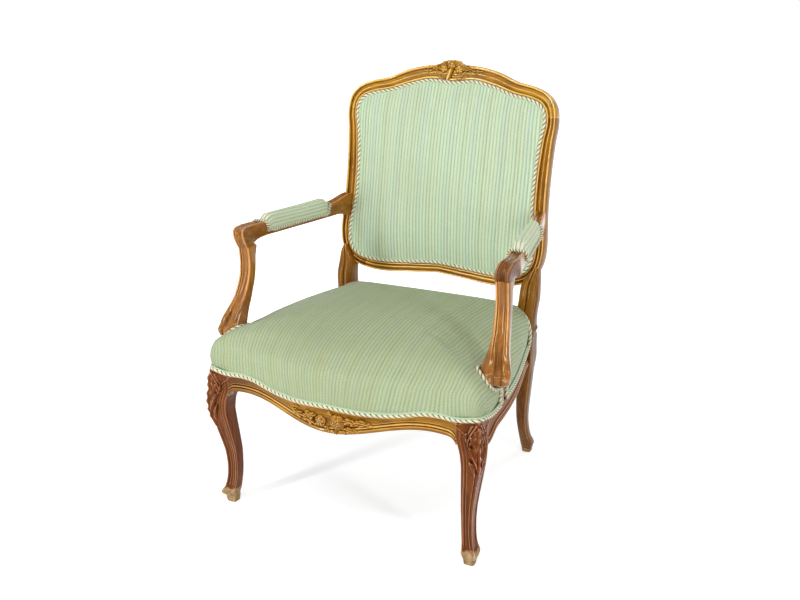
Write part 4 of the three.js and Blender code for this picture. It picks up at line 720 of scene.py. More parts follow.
def front_mould(a, full=1.0, base=0.0, opening=1.0, curl=0.0):
    """The sunk and proud lines over a front of width 1 to each side: edge beads, quirks and a ridged flute.
    Towards a base they pass into two swelling rolls with curled ends, and the flute narrows to a drop that closes."""
    edge = (1 - base) * (2.4 * bead(np.abs(a), 0.81, 0.19) - 1.2 * bell(np.abs(a), 0.57, 0.05)) + base * 6.2 * bead(np.abs(a), 0.61, 0.38)
    wide = 0.52 - 0.27 * base
    flute = 3.4 * (1 - base) * np.clip(1 - (a / wide) ** 2, 0, 1) + 6.5 * base * bead(a, 0, wide)
    return full * (edge - opening * flute + (1 - opening) * 3.8 * bead(a, 0, 0.6) + curl * bell(np.abs(a), 0.6, 0.26))


top_part = np.linspace(1, -1, 61)
side_part = np.linspace(0.06, 0.94, 9)


def arm_ring(half, low, high, bed, mould):
    """Points (across, up) of one section: over the top, down the right side, along the underside and up again."""
    across_top, up_top = half * top_part, high - 3.2 * np.abs(top_part) ** 6 + front_mould(top_part, mould)
    round_in = np.clip((side_part - 0.5) * 2, 0, 1)
    belly = 0.8 * np.sin(math.pi * side_part)
    sides_up = high - 3.2 + (low + 3 - high + 3.2) * side_part
    left = np.stack([-half - belly * (1 - bed) + 2 * round_in**3, sides_up], 1)
    bottom = np.stack([np.linspace(-0.84, 0.84, 9) * half, low + 0 * np.linspace(0, 1, 9)], 1)
    right = np.stack([half + belly * (1 - bed) - 2 * round_in**3, sides_up], 1)[::-1]
    return np.vstack([np.stack([across_top, up_top], 1), left, bottom, right])


rings = []
for y in np.concatenate([np.linspace(arm_end_y - 1, pad_back + 1, 22), np.linspace(pad_back, pad_front, 90), np.linspace(pad_front - 0.8, pivot_y, 26)]):
    half = through(y, [-98, -80, -58, 17, 93, 168, 190, 215, 238], [15.9, 16.4, 17.8, 18, 16.9, 15.5, 14.2, 12.4, 12])
    low = under - 14 * (1 - math.sqrt(1 - float(np.clip((-48 - y) / 50.1, 0, 0.97)) ** 2))
    low = low - 26 * 0.55 * soft_step(188, arm_end_y, y) ** 1.6
    high = arm_top + 13 * soft_step(170, arm_end_y - 4, y) ** 1.3
    bed = float(soft_step(pad_back + 0.5, pad_back - 0.5, y) * soft_step(pad_front - 0.5, pad_front + 0.5, y))
    ring = arm_ring(half, low, high, bed, 1 - 0.999 * bed)
    if bed > 0:
        sunk = ring[:, 1] > low + lip
        ring[sunk, 0] *= 1 - (1 - bed_share) * bed
        ring[:, 1] = np.where(sunk, np.minimum(ring[:, 1], high - pad_sink * bed), ring[:, 1])
    rings.append(np.stack([arm_line(y) + ring[:, 0], 0 * ring[:, 0] + y, ring[:, 1]], 1))
for turn in np.linspace(3, 90, 40):
    a = math.radians(turn)
    outer = through(turn, [0, 20, 36, 46, 56, 66, 78, 90], [45, 47.2, 54, 57, 55.6, 51, 43.8, 36.6])
    half = through(turn, [0, 40, 70, 90], [15.9, 16.2, 16.4, 16.5])
    ring = arm_ring(half, 2, outer, 0, 1.0)
    lean = soft_step(5, 85, turn)
    middle = (1 - lean) * arm_line(pivot_y - ring[:, 1] * math.sin(a)) + lean * support_x
    rings.append(np.stack([middle + ring[:, 0], pivot_y - ring[:, 1] * math.sin(a), pivot_z + ring[:, 1] * math.cos(a)], 1))
arm = skin("moulded_arm_left", np.array(rings))
mark_hollows(arm, 1)
arm_light, arm_middle, arm_dark = (0.38, 0.15, 0.01), (0.255, 0.08, 0.005), (0.08, 0.021, 0.003)
# The left arm's knuckle front is darkened with painted shade; the right arm gets the same wood without it.
shaded_knuckle_arm_wood = wood("shaded_knuckle_arm_wood", arm_light, arm_middle, arm_dark, lengthways, 0.15, deep=("Y", -0.145, -0.105), polish=0.5)
unshaded_arm_wood = wood("unshaded_arm_wood", arm_light, arm_middle, arm_dark, lengthways, 0.15, polish=0.5)
finished(across(arm, "moulded_arm_right"), unshaded_arm_wood, "frame_wood", "arm_right")
finished(arm, shaded_knuckle_arm_wood, "frame_wood", "arm_left")


# Arm supports: whiplash stems sawn and carved from beech, with a broad scrolled base over the side rail.
# A ridged flute between two beads runs up the front of each into the knuckle.

stem_keys = [0, 0.056, 0.123, 0.2, 0.303, 0.405, 0.508, 0.61, 0.738, 0.867, 1]
stem_x = [0.55, 0.6, 0.65, 0.62, 0.55, 0.42, 0.3, 0.15, 0.05, 0, 0]
stem_y = [0.91, 0.92, 0.87, 0.75, 0.56, 0.36, 0.21, 0.1, 0.02, 0, 0]
stem_wide = [30, 31.5, 31.5, 28, 22.5, 19.2, 17.4, 16.6, 16.2, 16.2, 16.5]
stem_deep = [19.5, 20.5, 20, 18.5, 16.5, 14.8, 13.4, 12.8, 12.4, 13.4, 16.1]
stem_turn = [24, 24, 23, 20, 15, 10, 6, 3, 1, 0, 0]
base_low = rail_top + 35
foot_x = float(side_face(-129)) - 11
way = np.concatenate([np.linspace(0, math.pi, 50, endpoint=False), np.linspace(math.pi, 2 * math.pi, 110, endpoint=False)])[None, :]


def stem_ring(x, y, z, half_x, half_y, mould, tilt, base, turned, opening=1.0, curl=0.0):
    """One level of a support: round behind, moulded in front, tilted and turned outward where the base scrolls forward."""
    c, s = np.cos(way), np.sin(way)
    n = 3.0 + 3.5 * np.maximum(soft_step(0.2, -0.5, s), soft_step(support_top - 26, support_top, z))
    radius = (np.abs(c) ** n + np.abs(s) ** n) ** (-1 / n)
    across_part, deep_part = radius * c, radius * s
    front = soft_step(0.25, -0.35, deep_part)
    deep = deep_part * half_y - front * mould * front_mould(across_part - 0.14 * base, 1.15, base, opening, curl)
    c, s = np.cos(np.radians(turned)), np.sin(np.radians(turned))
    return np.stack([x + across_part * half_x * c - deep * s, y + across_part * half_x * s + deep * c, z + tilt * deep], -1)


share = np.linspace(0, 1, 130)[:, None]
z = base_low + share * (support_top - base_low)
x = support_x + 9 * through(share, stem_keys, stem_x)
y = arm_front_y - 68 * through(share, stem_keys, stem_y)
half_x, half_y, turned = (through(share, stem_keys, values) for values in (stem_wide, stem_deep, stem_turn))
tilt = -0.15 * soft_step(0.16, 0.0, share)
curl = 2.2 * bell(share, 0.07, 0.035) - 1.6 * bell(share, 0.14, 0.022)
stem = stem_ring(x, y, z, half_x, half_y, 1.0, tilt, soft_step(0.42, 0.2, share), turned, soft_step(0.09, 0.17, share), curl)
foot_share = np.linspace(0, 1, 26)[:, None]
foot_z = trim_height + 0.3 + foot_share * 49.7
foot_rings = stem_ring(foot_x + 0 * foot_share, -129 - 4 * foot_share, foot_z, 11 + 0 * foot_share, 15 + 3 * foot_share**2, 0.3, 0 * foot_share, 1, 0, 0)
under_share = np.linspace(0.08, 0.94, 16)[:, None]
swell = under_share**0.55
under_rings = stem_ring(
    foot_x + (319 - foot_x) * swell, -133 - 47 * under_share**0.6, 368 + (base_low - 368) * under_share,
    11 + 19 * swell, 18 + 1.5 * swell, 0.3 + 0.7 * under_share, -0.15 * under_share, 1, 24 * swell, 0)
support = skin("carved_support_left", np.concatenate([foot_rings, under_rings, stem]))
mark_hollows(support, 1)
support_light, support_middle, support_dark = (0.41, 0.165, 0.01), (0.275, 0.09, 0.005), (0.085, 0.022, 0.003)
support_wood = wood("support_wood", support_light, support_middle, support_dark, upright, 0.15, polish=0.7)
finished(across(support, "carved_support_right"), support_wood, "frame_wood", "arm_support_right")
finished(support, support_wood, "frame_wood", "arm_support_left")


# Seat support: jute webbing woven over and under, coil springs on its crossings and hessian drawn over them.
# Horsehair lies on the hessian, and a thin black cloth is tacked under the rails against dust.

def woven(name, light, dark, step, rough=0.85, hairy=0.0):
    """Plain-woven or matted cloth: threads at the given step over and under, a little uneven."""
    made = bpy.data.materials.new(name)
    made.use_nodes = True
    nodes, links = made.node_tree.nodes, made.node_tree.links
    shader = nodes["Principled BSDF"]
    place = nodes.new("ShaderNodeTexCoord")
    threads = []
    for way in ("X", "Y"):
        wave = nodes.new("ShaderNodeTexWave")
        wave.bands_direction = way
        wave.inputs["Scale"].default_value = 0.314 / step * 1000
        wave.inputs["Distortion"].default_value = 0.6 + 9 * hairy
        wave.inputs["Detail"].default_value = 2 + 3 * hairy
        wave.inputs["Detail Scale"].default_value = 3
        links.new(place.outputs["Object"], wave.inputs["Vector"])
        threads.append(wave.outputs["Fac"])
    weave = nodes.new("ShaderNodeMath")
    weave.operation = "MULTIPLY"
    links.new(threads[0], weave.inputs[0])
    links.new(threads[1], weave.inputs[1])
    patches = nodes.new("ShaderNodeTexNoise")
    patches.inputs["Scale"].default_value = 22
    patches.inputs["Detail"].default_value = 5
    links.new(place.outputs["Object"], patches.inputs["Vector"])
    share = nodes.new("ShaderNodeMath")
    share.operation = "MULTIPLY_ADD"
    share.inputs[1].default_value = 0.75
    links.new(weave.outputs[0], share.inputs[0])
    links.new(patches.outputs["Fac"], share.inputs[2])
    colours = nodes.new("ShaderNodeValToRGB")
    colours.color_ramp.elements[0].position, colours.color_ramp.elements[0].color = 0.3, (*dark, 1)
    colours.color_ramp.elements[1].position, colours.color_ramp.elements[1].color = 1.0, (*light, 1)
    links.new(share.outputs[0], colours.inputs["Fac"])
    links.new(colours.outputs["Color"], shader.inputs["Base Color"])
    shader.inputs["Roughness"].default_value = rough
    bump = nodes.new("ShaderNodeBump")
    bump.inputs["Strength"].default_value = 0.5
    bump.inputs["Distance"].default_value = 0.0008
    links.new(weave.outputs[0], bump.inputs["Height"])
    links.new(bump.outputs["Normal"], shader.inputs["Normal"])
    return made


web_top = rail_low + 19 - 0.45
web_thick = 2.0
seat_middle = (leg_face + rear_face) / 2
webs = []
for lengthwise in (True, False):
    for k, place in enumerate((-1, 0, 1)):
        line = 138 * place if lengthwise else seat_middle + 122 * place
        reach = (float(front_face(line, 0.4)) + 30 - 10, rear_face - 26 + 10) if lengthwise else (-(float(side_face(line)) - 42), float(side_face(line)) - 42)
        run = np.linspace(*reach, 90)[:, None]
        lift = 0 * run
        for j, other in enumerate((-1, 0, 1)):
            at = other * 122 + seat_middle if lengthwise else other * 138
            if (k + j + (0 if lengthwise else 1)) % 2:
                lift -= (web_thick + 0.5) * soft_step(38, 26, np.abs(run - at))
        side = np.array([(-25, 0), (-25.3, -0.4 * web_thick), (-25, -web_thick), (25, -web_thick), (25.3, -0.4 * web_thick), (25, 0)])
        across_part, up = line + side[None, :, 0] + 0 * run, web_top + side[None, :, 1] + lift
        run = run + 0 * up
        webs.append(skin("web", np.stack([across_part, run, up] if lengthwise else [run, across_part, up], -1)))
webbing = joined(webs, "seat_webbing")
jute = woven("jute", (0.52, 0.42, 0.27), (0.26, 0.19, 0.1), 1.6)
finished(webbing, jute, "hessian", *["seat_strap_" + kind + "_" + str(k) for kind in ("long", "cross") for k in (1, 2, 3)])

steel = bpy.data.materials.new("tempered_wire")
steel.use_nodes = True
nodes, links = steel.node_tree.nodes, steel.node_tree.links
steel_shader = nodes["Principled BSDF"]
steel_shader.inputs["Metallic"].default_value = 1
spots_texture = nodes.new("ShaderNodeTexNoise")
spots_texture.inputs["Scale"].default_value = 160
spots_texture.inputs["Detail"].default_value = 6
place = nodes.new("ShaderNodeTexCoord")
links.new(place.outputs["Object"], spots_texture.inputs["Vector"])
tarnish = nodes.new("ShaderNodeValToRGB")
tarnish.color_ramp.elements[0].position, tarnish.color_ramp.elements[0].color = 0.42, (0.33, 0.31, 0.28, 1)
tarnish.color_ramp.elements[1].position, tarnish.color_ramp.elements[1].color = 0.68, (0.13, 0.075, 0.05, 1)
links.new(spots_texture.outputs["Fac"], tarnish.inputs["Fac"])
links.new(tarnish.outputs["Color"], steel_shader.inputs["Base Color"])
rust_rough = nodes.new("ShaderNodeMapRange")
rust_rough.inputs["To Min"].default_value, rust_rough.inputs["To Max"].default_value = 0.3, 0.65
links.new(spots_texture.outputs["Fac"], rust_rough.inputs["Value"])
links.new(rust_rough.outputs["Result"], steel_shader.inputs["Roughness"])
for k in range(1, 10):
    carried("seat_spring_" + str(k), steel)
for screw in ("front", "front_side", "rear_side", "rear"):
    for side in ("left", "right"):
        carried("block_screw_" + screw + "_" + side, steel)

seat_crown, seat_bulge, shoulder_low, cord_radius = 465, 12, 388, 4.0


def seat_outline(count):
    """The seat's edge in plan, in from the frame's faces by the rebate, with its way outward and its low line."""
    x = np.linspace(0, leg_inner, 120)
    points = [np.stack([x, front_face(x) + rebate, front_trim(x)], 1)]
    a = np.radians(np.linspace(-90, 0, 24))
    cx, cy = leg_outer - rebate - 11, leg_face + rebate + 11
    points.append(np.stack([cx + 11 * np.cos(a), cy + 11 * np.sin(a), trim_height + trim_rise * np.interp(np.degrees(a), [-90, -45, 0], [0.7, 0.95, 0.8])], 1))
    y = np.linspace(leg_rear, post_front, 160)
    points.append(np.stack([side_face(y) - rebate, y, trim_height + trim_rise * 0.25 * soft_step(0.09, 0, side_share(y))], 1))
    a = np.radians(np.linspace(0, 90, 24))
    cx, cy = post_outer - 8 - rebate - 11, rear_face - rebate - 11
    points.append(np.stack([cx + 11 * np.cos(a), cy + 11 * np.sin(a), trim_height + 0 * a], 1))
    x = np.linspace(post_inner - 1, 0, 60)
    points.append(np.stack([x, rear_face - rebate + 0 * x, trim_height + 0 * x], 1))
    half = np.vstack(points)
    ring = np.vstack([half, half[-2:0:-1] * (-1, 1, 1)])
    far = np.concatenate([[0], np.cumsum(np.linalg.norm(np.diff(np.vstack([ring, ring[:1]]), axis=0)[:, :2], axis=1))])
    at = np.linspace(0, far[-1], count, endpoint=False)
    ring = np.vstack([ring, ring[:1]])
    ring = np.stack([np.interp(at, far, column) for column in ring.T], 1)
    for _ in range(3):
        ring[:, 2] = (np.roll(ring[:, 2], 1) + ring[:, 2] + np.roll(ring[:, 2], -1)) / 3
    way = np.roll(ring, -2, 0) - np.roll(ring, 2, 0)
    out = np.stack([way[:, 1], -way[:, 0]], 1)
    return ring[:, :2], out / np.linalg.norm(out, axis=1, keepdims=True), ring[:, 2]


middle = np.array([0, seat_middle])


def round_sheet(rows):
    """Rows round the seat, each (share, out, height): shrunk to a share of the outline, then pushed out."""
    edge, out, low = seat_outline(300)
    made = []
    for share, push, height in rows:
        plan = middle + (edge + push * out - middle) * share
        made.append(np.column_stack([plan, height(low) if callable(height) else height + 0 * low]))
    return np.array(made)


def beside_feet(y, inner):
    """How far out the padding may reach beside a support's foot, round which the cover is cut."""
    away = np.abs(y + 129)
    return inner + 24 * soft_step(15, 27, away) + 60 * soft_step(27, 33, away)


def drawn_down(spots):
    """How much lower the padding lies where it is drawn down round a support's base."""
    far = np.hypot(np.abs(spots[..., 0]) - 312, spots[..., 1] + 183)
    return 8 * bell(far, 0, 48) * soft_step(352, 384, spots[..., 2])


hessian = skin("seat_hessian_cloth", round_sheet(
    [(0, 0, 370.5)] + [(s, 0, 370.5 - 20 * soft_step(0.78, 0.97, s)) for s in np.linspace(0.06, 0.985, 30)] +
    [(0.995, 0, 350.6), (0.995, 0, 351.6)] + [(s, 0, 371.5 - 20 * soft_step(0.78, 0.97, s)) for s in np.linspace(0.985, 0.06, 30)] + [(0, 0, 371.5)]), around=True)
finished(hessian, woven("hessian_cloth", (0.5, 0.38, 0.22), (0.2, 0.14, 0.07), 1.3), "hessian", "seat_hessian")

spots = round_sheet(
    [(0, 0, 372.5)] + [(s, 0, 372.5 - 20 * soft_step(0.78, 0.97, s)) for s in np.linspace(0.08, 0.99, 24)] +
    [(1, 0, 354), (1, 3, 358), (1, 4, 372), (1, 3, 382)] +
    [(s, 0, 380 + 70 * (1 - s**2.6) ** 0.62) for s in np.linspace(0.97, 0.06, 34)] + [(0, 0, 450)])
spots[..., 2] -= drawn_down(spots)
limit = beside_feet(spots[..., 1], 299)
spots[..., 0] = np.clip(spots[..., 0], -limit, limit)
stuffing = skin("seat_horsehair", spots)
finished(stuffing, woven("horsehair", (0.2, 0.15, 0.1), (0.05, 0.035, 0.025), 2.4, 0.7, 1.0), "stuffing", "seat_stuffing")

dust_low = web_top - 2 * web_thick - 1.4
dust = skin("dust_cloth_sheet", round_sheet(
    [(0, 0, dust_low - 5)] + [(s, 0, dust_low - 5 * (1 - s**2)) for s in np.linspace(0.06, 0.9, 26)] +
    [(0.905, 0, dust_low - 0.4)] + [(s, 0, dust_low - 5 * (1 - s**2) + 0.7) for s in np.linspace(0.9, 0.06, 26)] + [(0, 0, dust_low - 4.3)]))
finished(dust, woven("dust_cloth", (0.045, 0.045, 0.048), (0.012, 0.012, 0.014), 0.8), "dust_cloth", "dust_cover")


# Seat cover: pale green ribbed cloth drawn over the domed seat, ribs from front to back, and tacked in the rebate.
# It is cut round the posts and the arm supports.

def ribbed_cloth(name, worn=0.0, cast=(0.19, 0.21, 0.035), gathered=False):
    """Cloth with raised pale ribs, rows of small dark green stitches between them and soft stripes of colour; where
    gathered, painted shade darkens the folds' hollows and painted highlight lightens their crests.
    """
    made = bpy.data.materials.new(name)
    made.use_nodes = True
    nodes, links = made.node_tree.nodes, made.node_tree.links
    shader = nodes["Principled BSDF"]

    def sum_of(way, *terms, clamp=False):
        node = nodes.new("ShaderNodeMath")
        node.operation = way
        node.use_clamp = clamp
        for socket, value in zip(node.inputs, terms):
            if isinstance(value, (int, float)):
                socket.default_value = value
            else:
                links.new(value, socket)
        return node.outputs[0]

    def eased(source, low, high, to_low=0.0, to_high=1.0):
        node = nodes.new("ShaderNodeMapRange")
        node.interpolation_type = "SMOOTHSTEP"
        for socket, value in zip(("From Min", "From Max", "To Min", "To Max"), (low, high, to_low, to_high)):
            node.inputs[socket].default_value = value
        links.new(source, node.inputs["Value"])
        return node.outputs["Result"]

    def mixed(share, a, b):
        node = nodes.new("ShaderNodeMix")
        node.data_type = "RGBA"
        for socket, value in ((node.inputs[0], share), (node.inputs[6], a), (node.inputs[7], b)):
            if isinstance(value, (int, float)):
                socket.default_value = value
            elif isinstance(value, tuple):
                socket.default_value = (*value, 1)
            else:
                links.new(value, socket)
        return node.outputs[2]

    def noise(scale, detail, vector):
        node = nodes.new("ShaderNodeTexNoise")
        node.inputs["Scale"].default_value = scale
        node.inputs["Detail"].default_value = detail
        links.new(vector, node.inputs["Vector"])
        return node.outputs["Fac"]

    weave = nodes.new("ShaderNodeUVMap")
    split = nodes.new("ShaderNodeSeparateXYZ")
    links.new(weave.outputs["UV"], split.inputs["Vector"])
    place = nodes.new("ShaderNodeTexCoord")
    sway = sum_of("MULTIPLY", sum_of("SUBTRACT", noise(7, 2, place.outputs["Object"]), 0.5), 0.004)
    u = sum_of("ADD", split.outputs["X"], sway)
    v = split.outputs["Y"]
    column = sum_of("DIVIDE", u, 0.0085)
    inside = sum_of("FRACT", sum_of("ADD", column, 100.0))
    off = sum_of("ABSOLUTE", sum_of("SUBTRACT", inside, 0.5))
    rib = eased(off, 0.3, 0.12)
    between = eased(off, 0.3, 0.42)
    single = nodes.new("ShaderNodeCombineXYZ")
    links.new(sum_of("FLOOR", sum_of("ADD", column, 100.5)), single.inputs["X"])
    uneven = eased(noise(3.71, 0, single.outputs["Vector"]), 0.3, 0.7, 0.55, 1.0)
    stagger = sum_of("MULTIPLY", sum_of("FLOOR", sum_of("ADD", column, 100.5)), 0.5)
    run = sum_of("FRACT", sum_of("ADD", sum_of("DIVIDE", v, 0.0031), sum_of("ADD", stagger, 200.0)))
    dash = sum_of("MULTIPLY", eased(sum_of("ABSOLUTE", sum_of("SUBTRACT", run, 0.5)), 0.34, 0.2), between)
    band = sum_of("FRACT", sum_of("ADD", sum_of("DIVIDE", u, 0.136), 50.37))
    stripes = nodes.new("ShaderNodeValToRGB")
    ramp = stripes.color_ramp
    mint, sage, sea, straw, sand = (0.5, 0.68, 0.45), (0.45, 0.61, 0.39), (0.44, 0.62, 0.45), (0.52, 0.66, 0.41), (0.49, 0.61, 0.4)
    bands = ((0.0, mint), (0.1, mint), (0.12, sage), (0.2, sage), (0.22, straw), (0.27, straw), (0.29, mint), (0.42, mint),
             (0.44, sea), (0.52, sea), (0.54, sand), (0.57, sand), (0.59, mint), (0.7, mint), (0.72, sage), (0.78, sage),
             (0.8, straw), (0.86, mint), (0.92, sea), (0.97, sea))
    for k, (at, colour) in enumerate(bands):
        spot = ramp.elements[k] if k < 2 else ramp.elements.new(at)
        spot.position, spot.color = at, (*colour, 1)
    links.new(band, stripes.inputs["Fac"])
    colour = mixed(sum_of("MULTIPLY", rib, 0.5), stripes.outputs["Color"], (0.72, 0.8, 0.62))
    dark = sum_of("MULTIPLY", uneven, eased(noise(55, 3, place.outputs["Object"]), 0.25, 0.6, 0.6, 1.0))
    colour = mixed(sum_of("MULTIPLY", dash, dark), colour, (0.09, 0.16, 0.07))
    dirt = eased(noise(5, 5, place.outputs["Object"]), 0.35, 0.75)
    colour = mixed(sum_of("MULTIPLY", dirt, 0.12 + 0.25 * worn), colour, (0.36, 0.33, 0.19))
    # The worn share tints the cloth towards the given cast: wear, and on the seat also painted shade.
    colour = mixed(worn, colour, cast)
    if gathered:
        # Painted shade in the pleats' hollows and painted highlight on their crests.
        fold = nodes.new("ShaderNodeAttribute")
        fold.attribute_name = "hollow"
        colour = mixed(eased(fold.outputs["Fac"], 0.04, 0.3, 0.0, 0.75), colour, (0.2, 0.24, 0.12))
        colour = mixed(eased(fold.outputs["Fac"], -0.06, -0.22, 0.0, 0.8), colour, (0.86, 0.84, 0.62))
    fluff = noise(900, 3, place.outputs["Object"])
    colour = mixed(eased(fluff, 0.35, 0.7, 0.0, 0.18), colour, (0.8, 0.84, 0.7))
    links.new(colour, shader.inputs["Base Color"])
    shader.inputs["Roughness"].default_value = 0.72
    shader.inputs["Sheen Weight"].default_value = 0.12
    shader.inputs["Sheen Roughness"].default_value = 0.45
    weft = sum_of("MULTIPLY", sum_of("SINE", sum_of("MULTIPLY", v, 7400.0)), 0.08)
    high = sum_of("ADD", sum_of("ADD", rib, weft), sum_of("MULTIPLY", fluff, 0.25))
    high = sum_of("SUBTRACT", high, sum_of("MULTIPLY", dash, 0.5))
    bump = nodes.new("ShaderNodeBump")
    bump.inputs["Strength"].default_value = 0.55
    bump.inputs["Distance"].default_value = 0.0009
    links.new(high, bump.inputs["Height"])
    links.new(bump.outputs["Normal"], shader.inputs["Normal"])
    return made


def walked_weave(spots, first, out):
    """Weave places of rows that run out from a centre: each point goes on from the last by the real length."""
    weave = [first]
    for a, b in zip(spots, spots[1:]):
        plan = (b - a)[:, :2]
        flat = np.linalg.norm(plan, axis=1, keepdims=True)
        real = np.linalg.norm(b - a, axis=1, keepdims=True)
        way = plan * (flat > 0.35 * real) / np.maximum(flat, 1e-6)
        way += out * 1.0 * (flat <= 0.35 * real)
        weave.append(weave[-1] + way * real)
    return np.array(weave)


def swelled(piece, size, held, cap, pressure=4.0):
    """Simulates the sewn cover as cloth under the stuffing's pressure, on a remeshed copy held where it is tacked."""
    only(piece)
    bpy.ops.object.duplicate()
    copy = bpy.context.object
    copy.data.remesh_voxel_size = size
    bpy.ops.object.voxel_remesh()
    start = np.empty(3 * len(copy.data.vertices))
    copy.data.vertices.foreach_get("co", start)
    start = start.reshape(-1, 3)
    tacked = copy.vertex_groups.new(name="tacked")
    tacked.add([int(k) for k in np.flatnonzero(held(start * 1000 - (0, middle_shift, 0)))], 1.0, "REPLACE")
    cloth = copy.modifiers.new("swell", "CLOTH")
    cloth.settings.quality = 6
    cloth.settings.mass = 0.25
    cloth.settings.tension_stiffness = cloth.settings.compression_stiffness = 12
    cloth.settings.shear_stiffness = 6
    cloth.settings.bending_stiffness = 0.4
    cloth.settings.use_pressure = True
    cloth.settings.uniform_pressure_force = pressure
    cloth.settings.vertex_group_mass = "tacked"
    cloth.settings.effector_weights.gravity = 0
    cloth.collision_settings.use_collision = False
    cloth.point_cache.frame_start, cloth.point_cache.frame_end = 1, 20
    for step in range(1, 21):
        bpy.context.scene.frame_set(step)
    settled = copy.evaluated_get(bpy.context.evaluated_depsgraph_get()).data
    moved = np.empty(3 * len(settled.vertices))
    settled.vertices.foreach_get("co", moved)
    move = moved.reshape(-1, 3) - start
    far = np.linalg.norm(move, axis=1, keepdims=True)
    move *= np.minimum(1, cap / 1000 / np.maximum(far, 1e-9))
    tree = kdtree.KDTree(len(start))
    for k, spot in enumerate(start):
        tree.insert(spot, k)
    tree.balance()
    spots = np.empty(3 * len(piece.data.vertices))
    piece.data.vertices.foreach_get("co", spots)
    spots = spots.reshape(-1, 3)
    for k, spot in enumerate(spots.copy()):
        near = tree.find_n(spot, 5)
        share = np.array([1 / (gap + 0.0008) for _, _, gap in near])
        spots[k] += share @ move[[at for _, at, _ in near]] / share.sum()
    piece.data.vertices.foreach_set("co", spots.ravel())
    piece.data.update()
    bpy.data.objects.remove(copy, do_unlink=True)
    bpy.context.scene.frame_set(1)


edge, out, low = seat_outline(760)
rows = [(s, 0.0, 388 + 74 * (1 - s**2.6) ** 0.62) for s in np.concatenate([[0, 0.02], np.linspace(0.05, 0.9, 34), np.linspace(0.915, 0.985, 10)])]
beside = (np.abs(out[:, :1]) * soft_step(leg_y + 10, leg_y + 90, edge[:, 1:2]))
spots = []
for share, push, height in rows:
    settle = seat_bulge * 0.6 * soft_step(0.7, 1.0, share)
    spots.append(np.column_stack([middle + (edge + settle * out - middle) * share, height + 0 * low]))
for t in np.linspace(0.03, 1, 22):
    z = shoulder_low + (low + 0.6 - shoulder_low) * t
    push = through(t, [0, 0.25, 0.5, 0.8, 1], [7.2, 11, 12, 8.5, 2.6]) * (1 - 0.7 * beside * t**0.5)
    spots.append(np.column_stack([edge + push * out, z]))
spots = np.array(spots)
spots[..., 2] -= drawn_down(spots)
limit = np.minimum(post_outer - 3 + 110 * soft_step(post_front - 2, post_front - 66, spots[..., 1]), beside_feet(spots[..., 1], 306))
spots[..., 0] = np.clip(spots[..., 0], -limit, limit)
weave = walked_weave(spots, spots[0, :, :2], out)
seat_cover = skin("seat_cloth", spots, weave=weave)


def seat_tacks(p):
    beside_support = (np.abs(np.abs(p[:, 0]) - support_x) < 34) & (np.abs(p[:, 1] + 135) < 30) & (p[:, 2] < 400)
    beside_post = (np.abs(p[:, 0]) > post_inner - 12) & (p[:, 1] > post_front - 14)
    return (p[:, 2] < trim_height + 16) | beside_support | beside_post


swelled(seat_cover, 0.0065, seat_tacks, 5)
# The seat's cloth is tinted far more towards the dark olive cast than the back's: wear, and painted shade on the seat's
# top.
seat_cloth = ribbed_cloth("seat_ribbed_cloth", 0.54)
finished(seat_cover, seat_cloth, "striped_cloth", "seat_cover", angle=70)


# Twisted cord: two cream strands laid up with two thin dark green ones, glued over the cover's tacked edge.
# A narrow mint braid runs beside it on the cloth's side.

def laid_cord(name, light, dark, thin):
    made = bpy.data.materials.new(name)
    made.use_nodes = True
    nodes, links = made.node_tree.nodes, made.node_tree.links
    shader = nodes["Principled BSDF"]
    lay = nodes.new("ShaderNodeUVMap")
    split = nodes.new("ShaderNodeSeparateXYZ")
    links.new(lay.outputs["UV"], split.inputs["Vector"])
    around = nodes.new("ShaderNodeMath")
    around.operation = "MULTIPLY"
    around.inputs[1].default_value = 2000.0
    links.new(split.outputs["X"], around.inputs[0])
    strand = nodes.new("ShaderNodeMath")
    strand.operation = "PINGPONG"
    strand.inputs[1].default_value = 0.5
    links.new(around.outputs[0], strand.inputs[0])
    green = nodes.new("ShaderNodeMapRange")
    green.interpolation_type = "SMOOTHSTEP"
    for socket, value in zip(("From Min", "From Max", "To Min", "To Max"), (0.5 - thin, 0.5 - thin * 0.6, 0.0, 1.0)):
        green.inputs[socket].default_value = value
    links.new(strand.outputs[0], green.inputs["Value"])
    fibre = nodes.new("ShaderNodeTexNoise")
    fibre.inputs["Scale"].default_value = 1.0
    fibre.inputs["Detail"].default_value = 4
    stretch = nodes.new("ShaderNodeMapping")
    stretch.inputs["Scale"].default_value = (14000, 240, 1)
    links.new(lay.outputs["UV"], stretch.inputs["Vector"])
    links.new(stretch.outputs["Vector"], fibre.inputs["Vector"])
    tone = nodes.new("ShaderNodeMix")
    tone.data_type = "RGBA"
    links.new(fibre.outputs["Fac"], tone.inputs[0])
    tone.inputs[6].default_value = (*[0.72 * c for c in light], 1)
    tone.inputs[7].default_value = (*[min(1.0, 1.18 * c) for c in light], 1)
    both = nodes.new("ShaderNodeMix")
    both.data_type = "RGBA"
    links.new(green.outputs["Result"], both.inputs[0])
    links.new(tone.outputs[2], both.inputs[6])
    both.inputs[7].default_value = (*dark, 1)
    links.new(both.outputs[2], shader.inputs["Base Color"])
    shader.inputs["Roughness"].default_value = 0.6
    shader.inputs["Sheen Weight"].default_value = 0.2
    bump = nodes.new("ShaderNodeBump")
    bump.inputs["Strength"].default_value = 0.6
    bump.inputs["Distance"].default_value = 0.0005
    links.new(fibre.outputs["Fac"], bump.inputs["Height"])
    links.new(bump.outputs["Normal"], shader.inputs["Normal"])
    return made


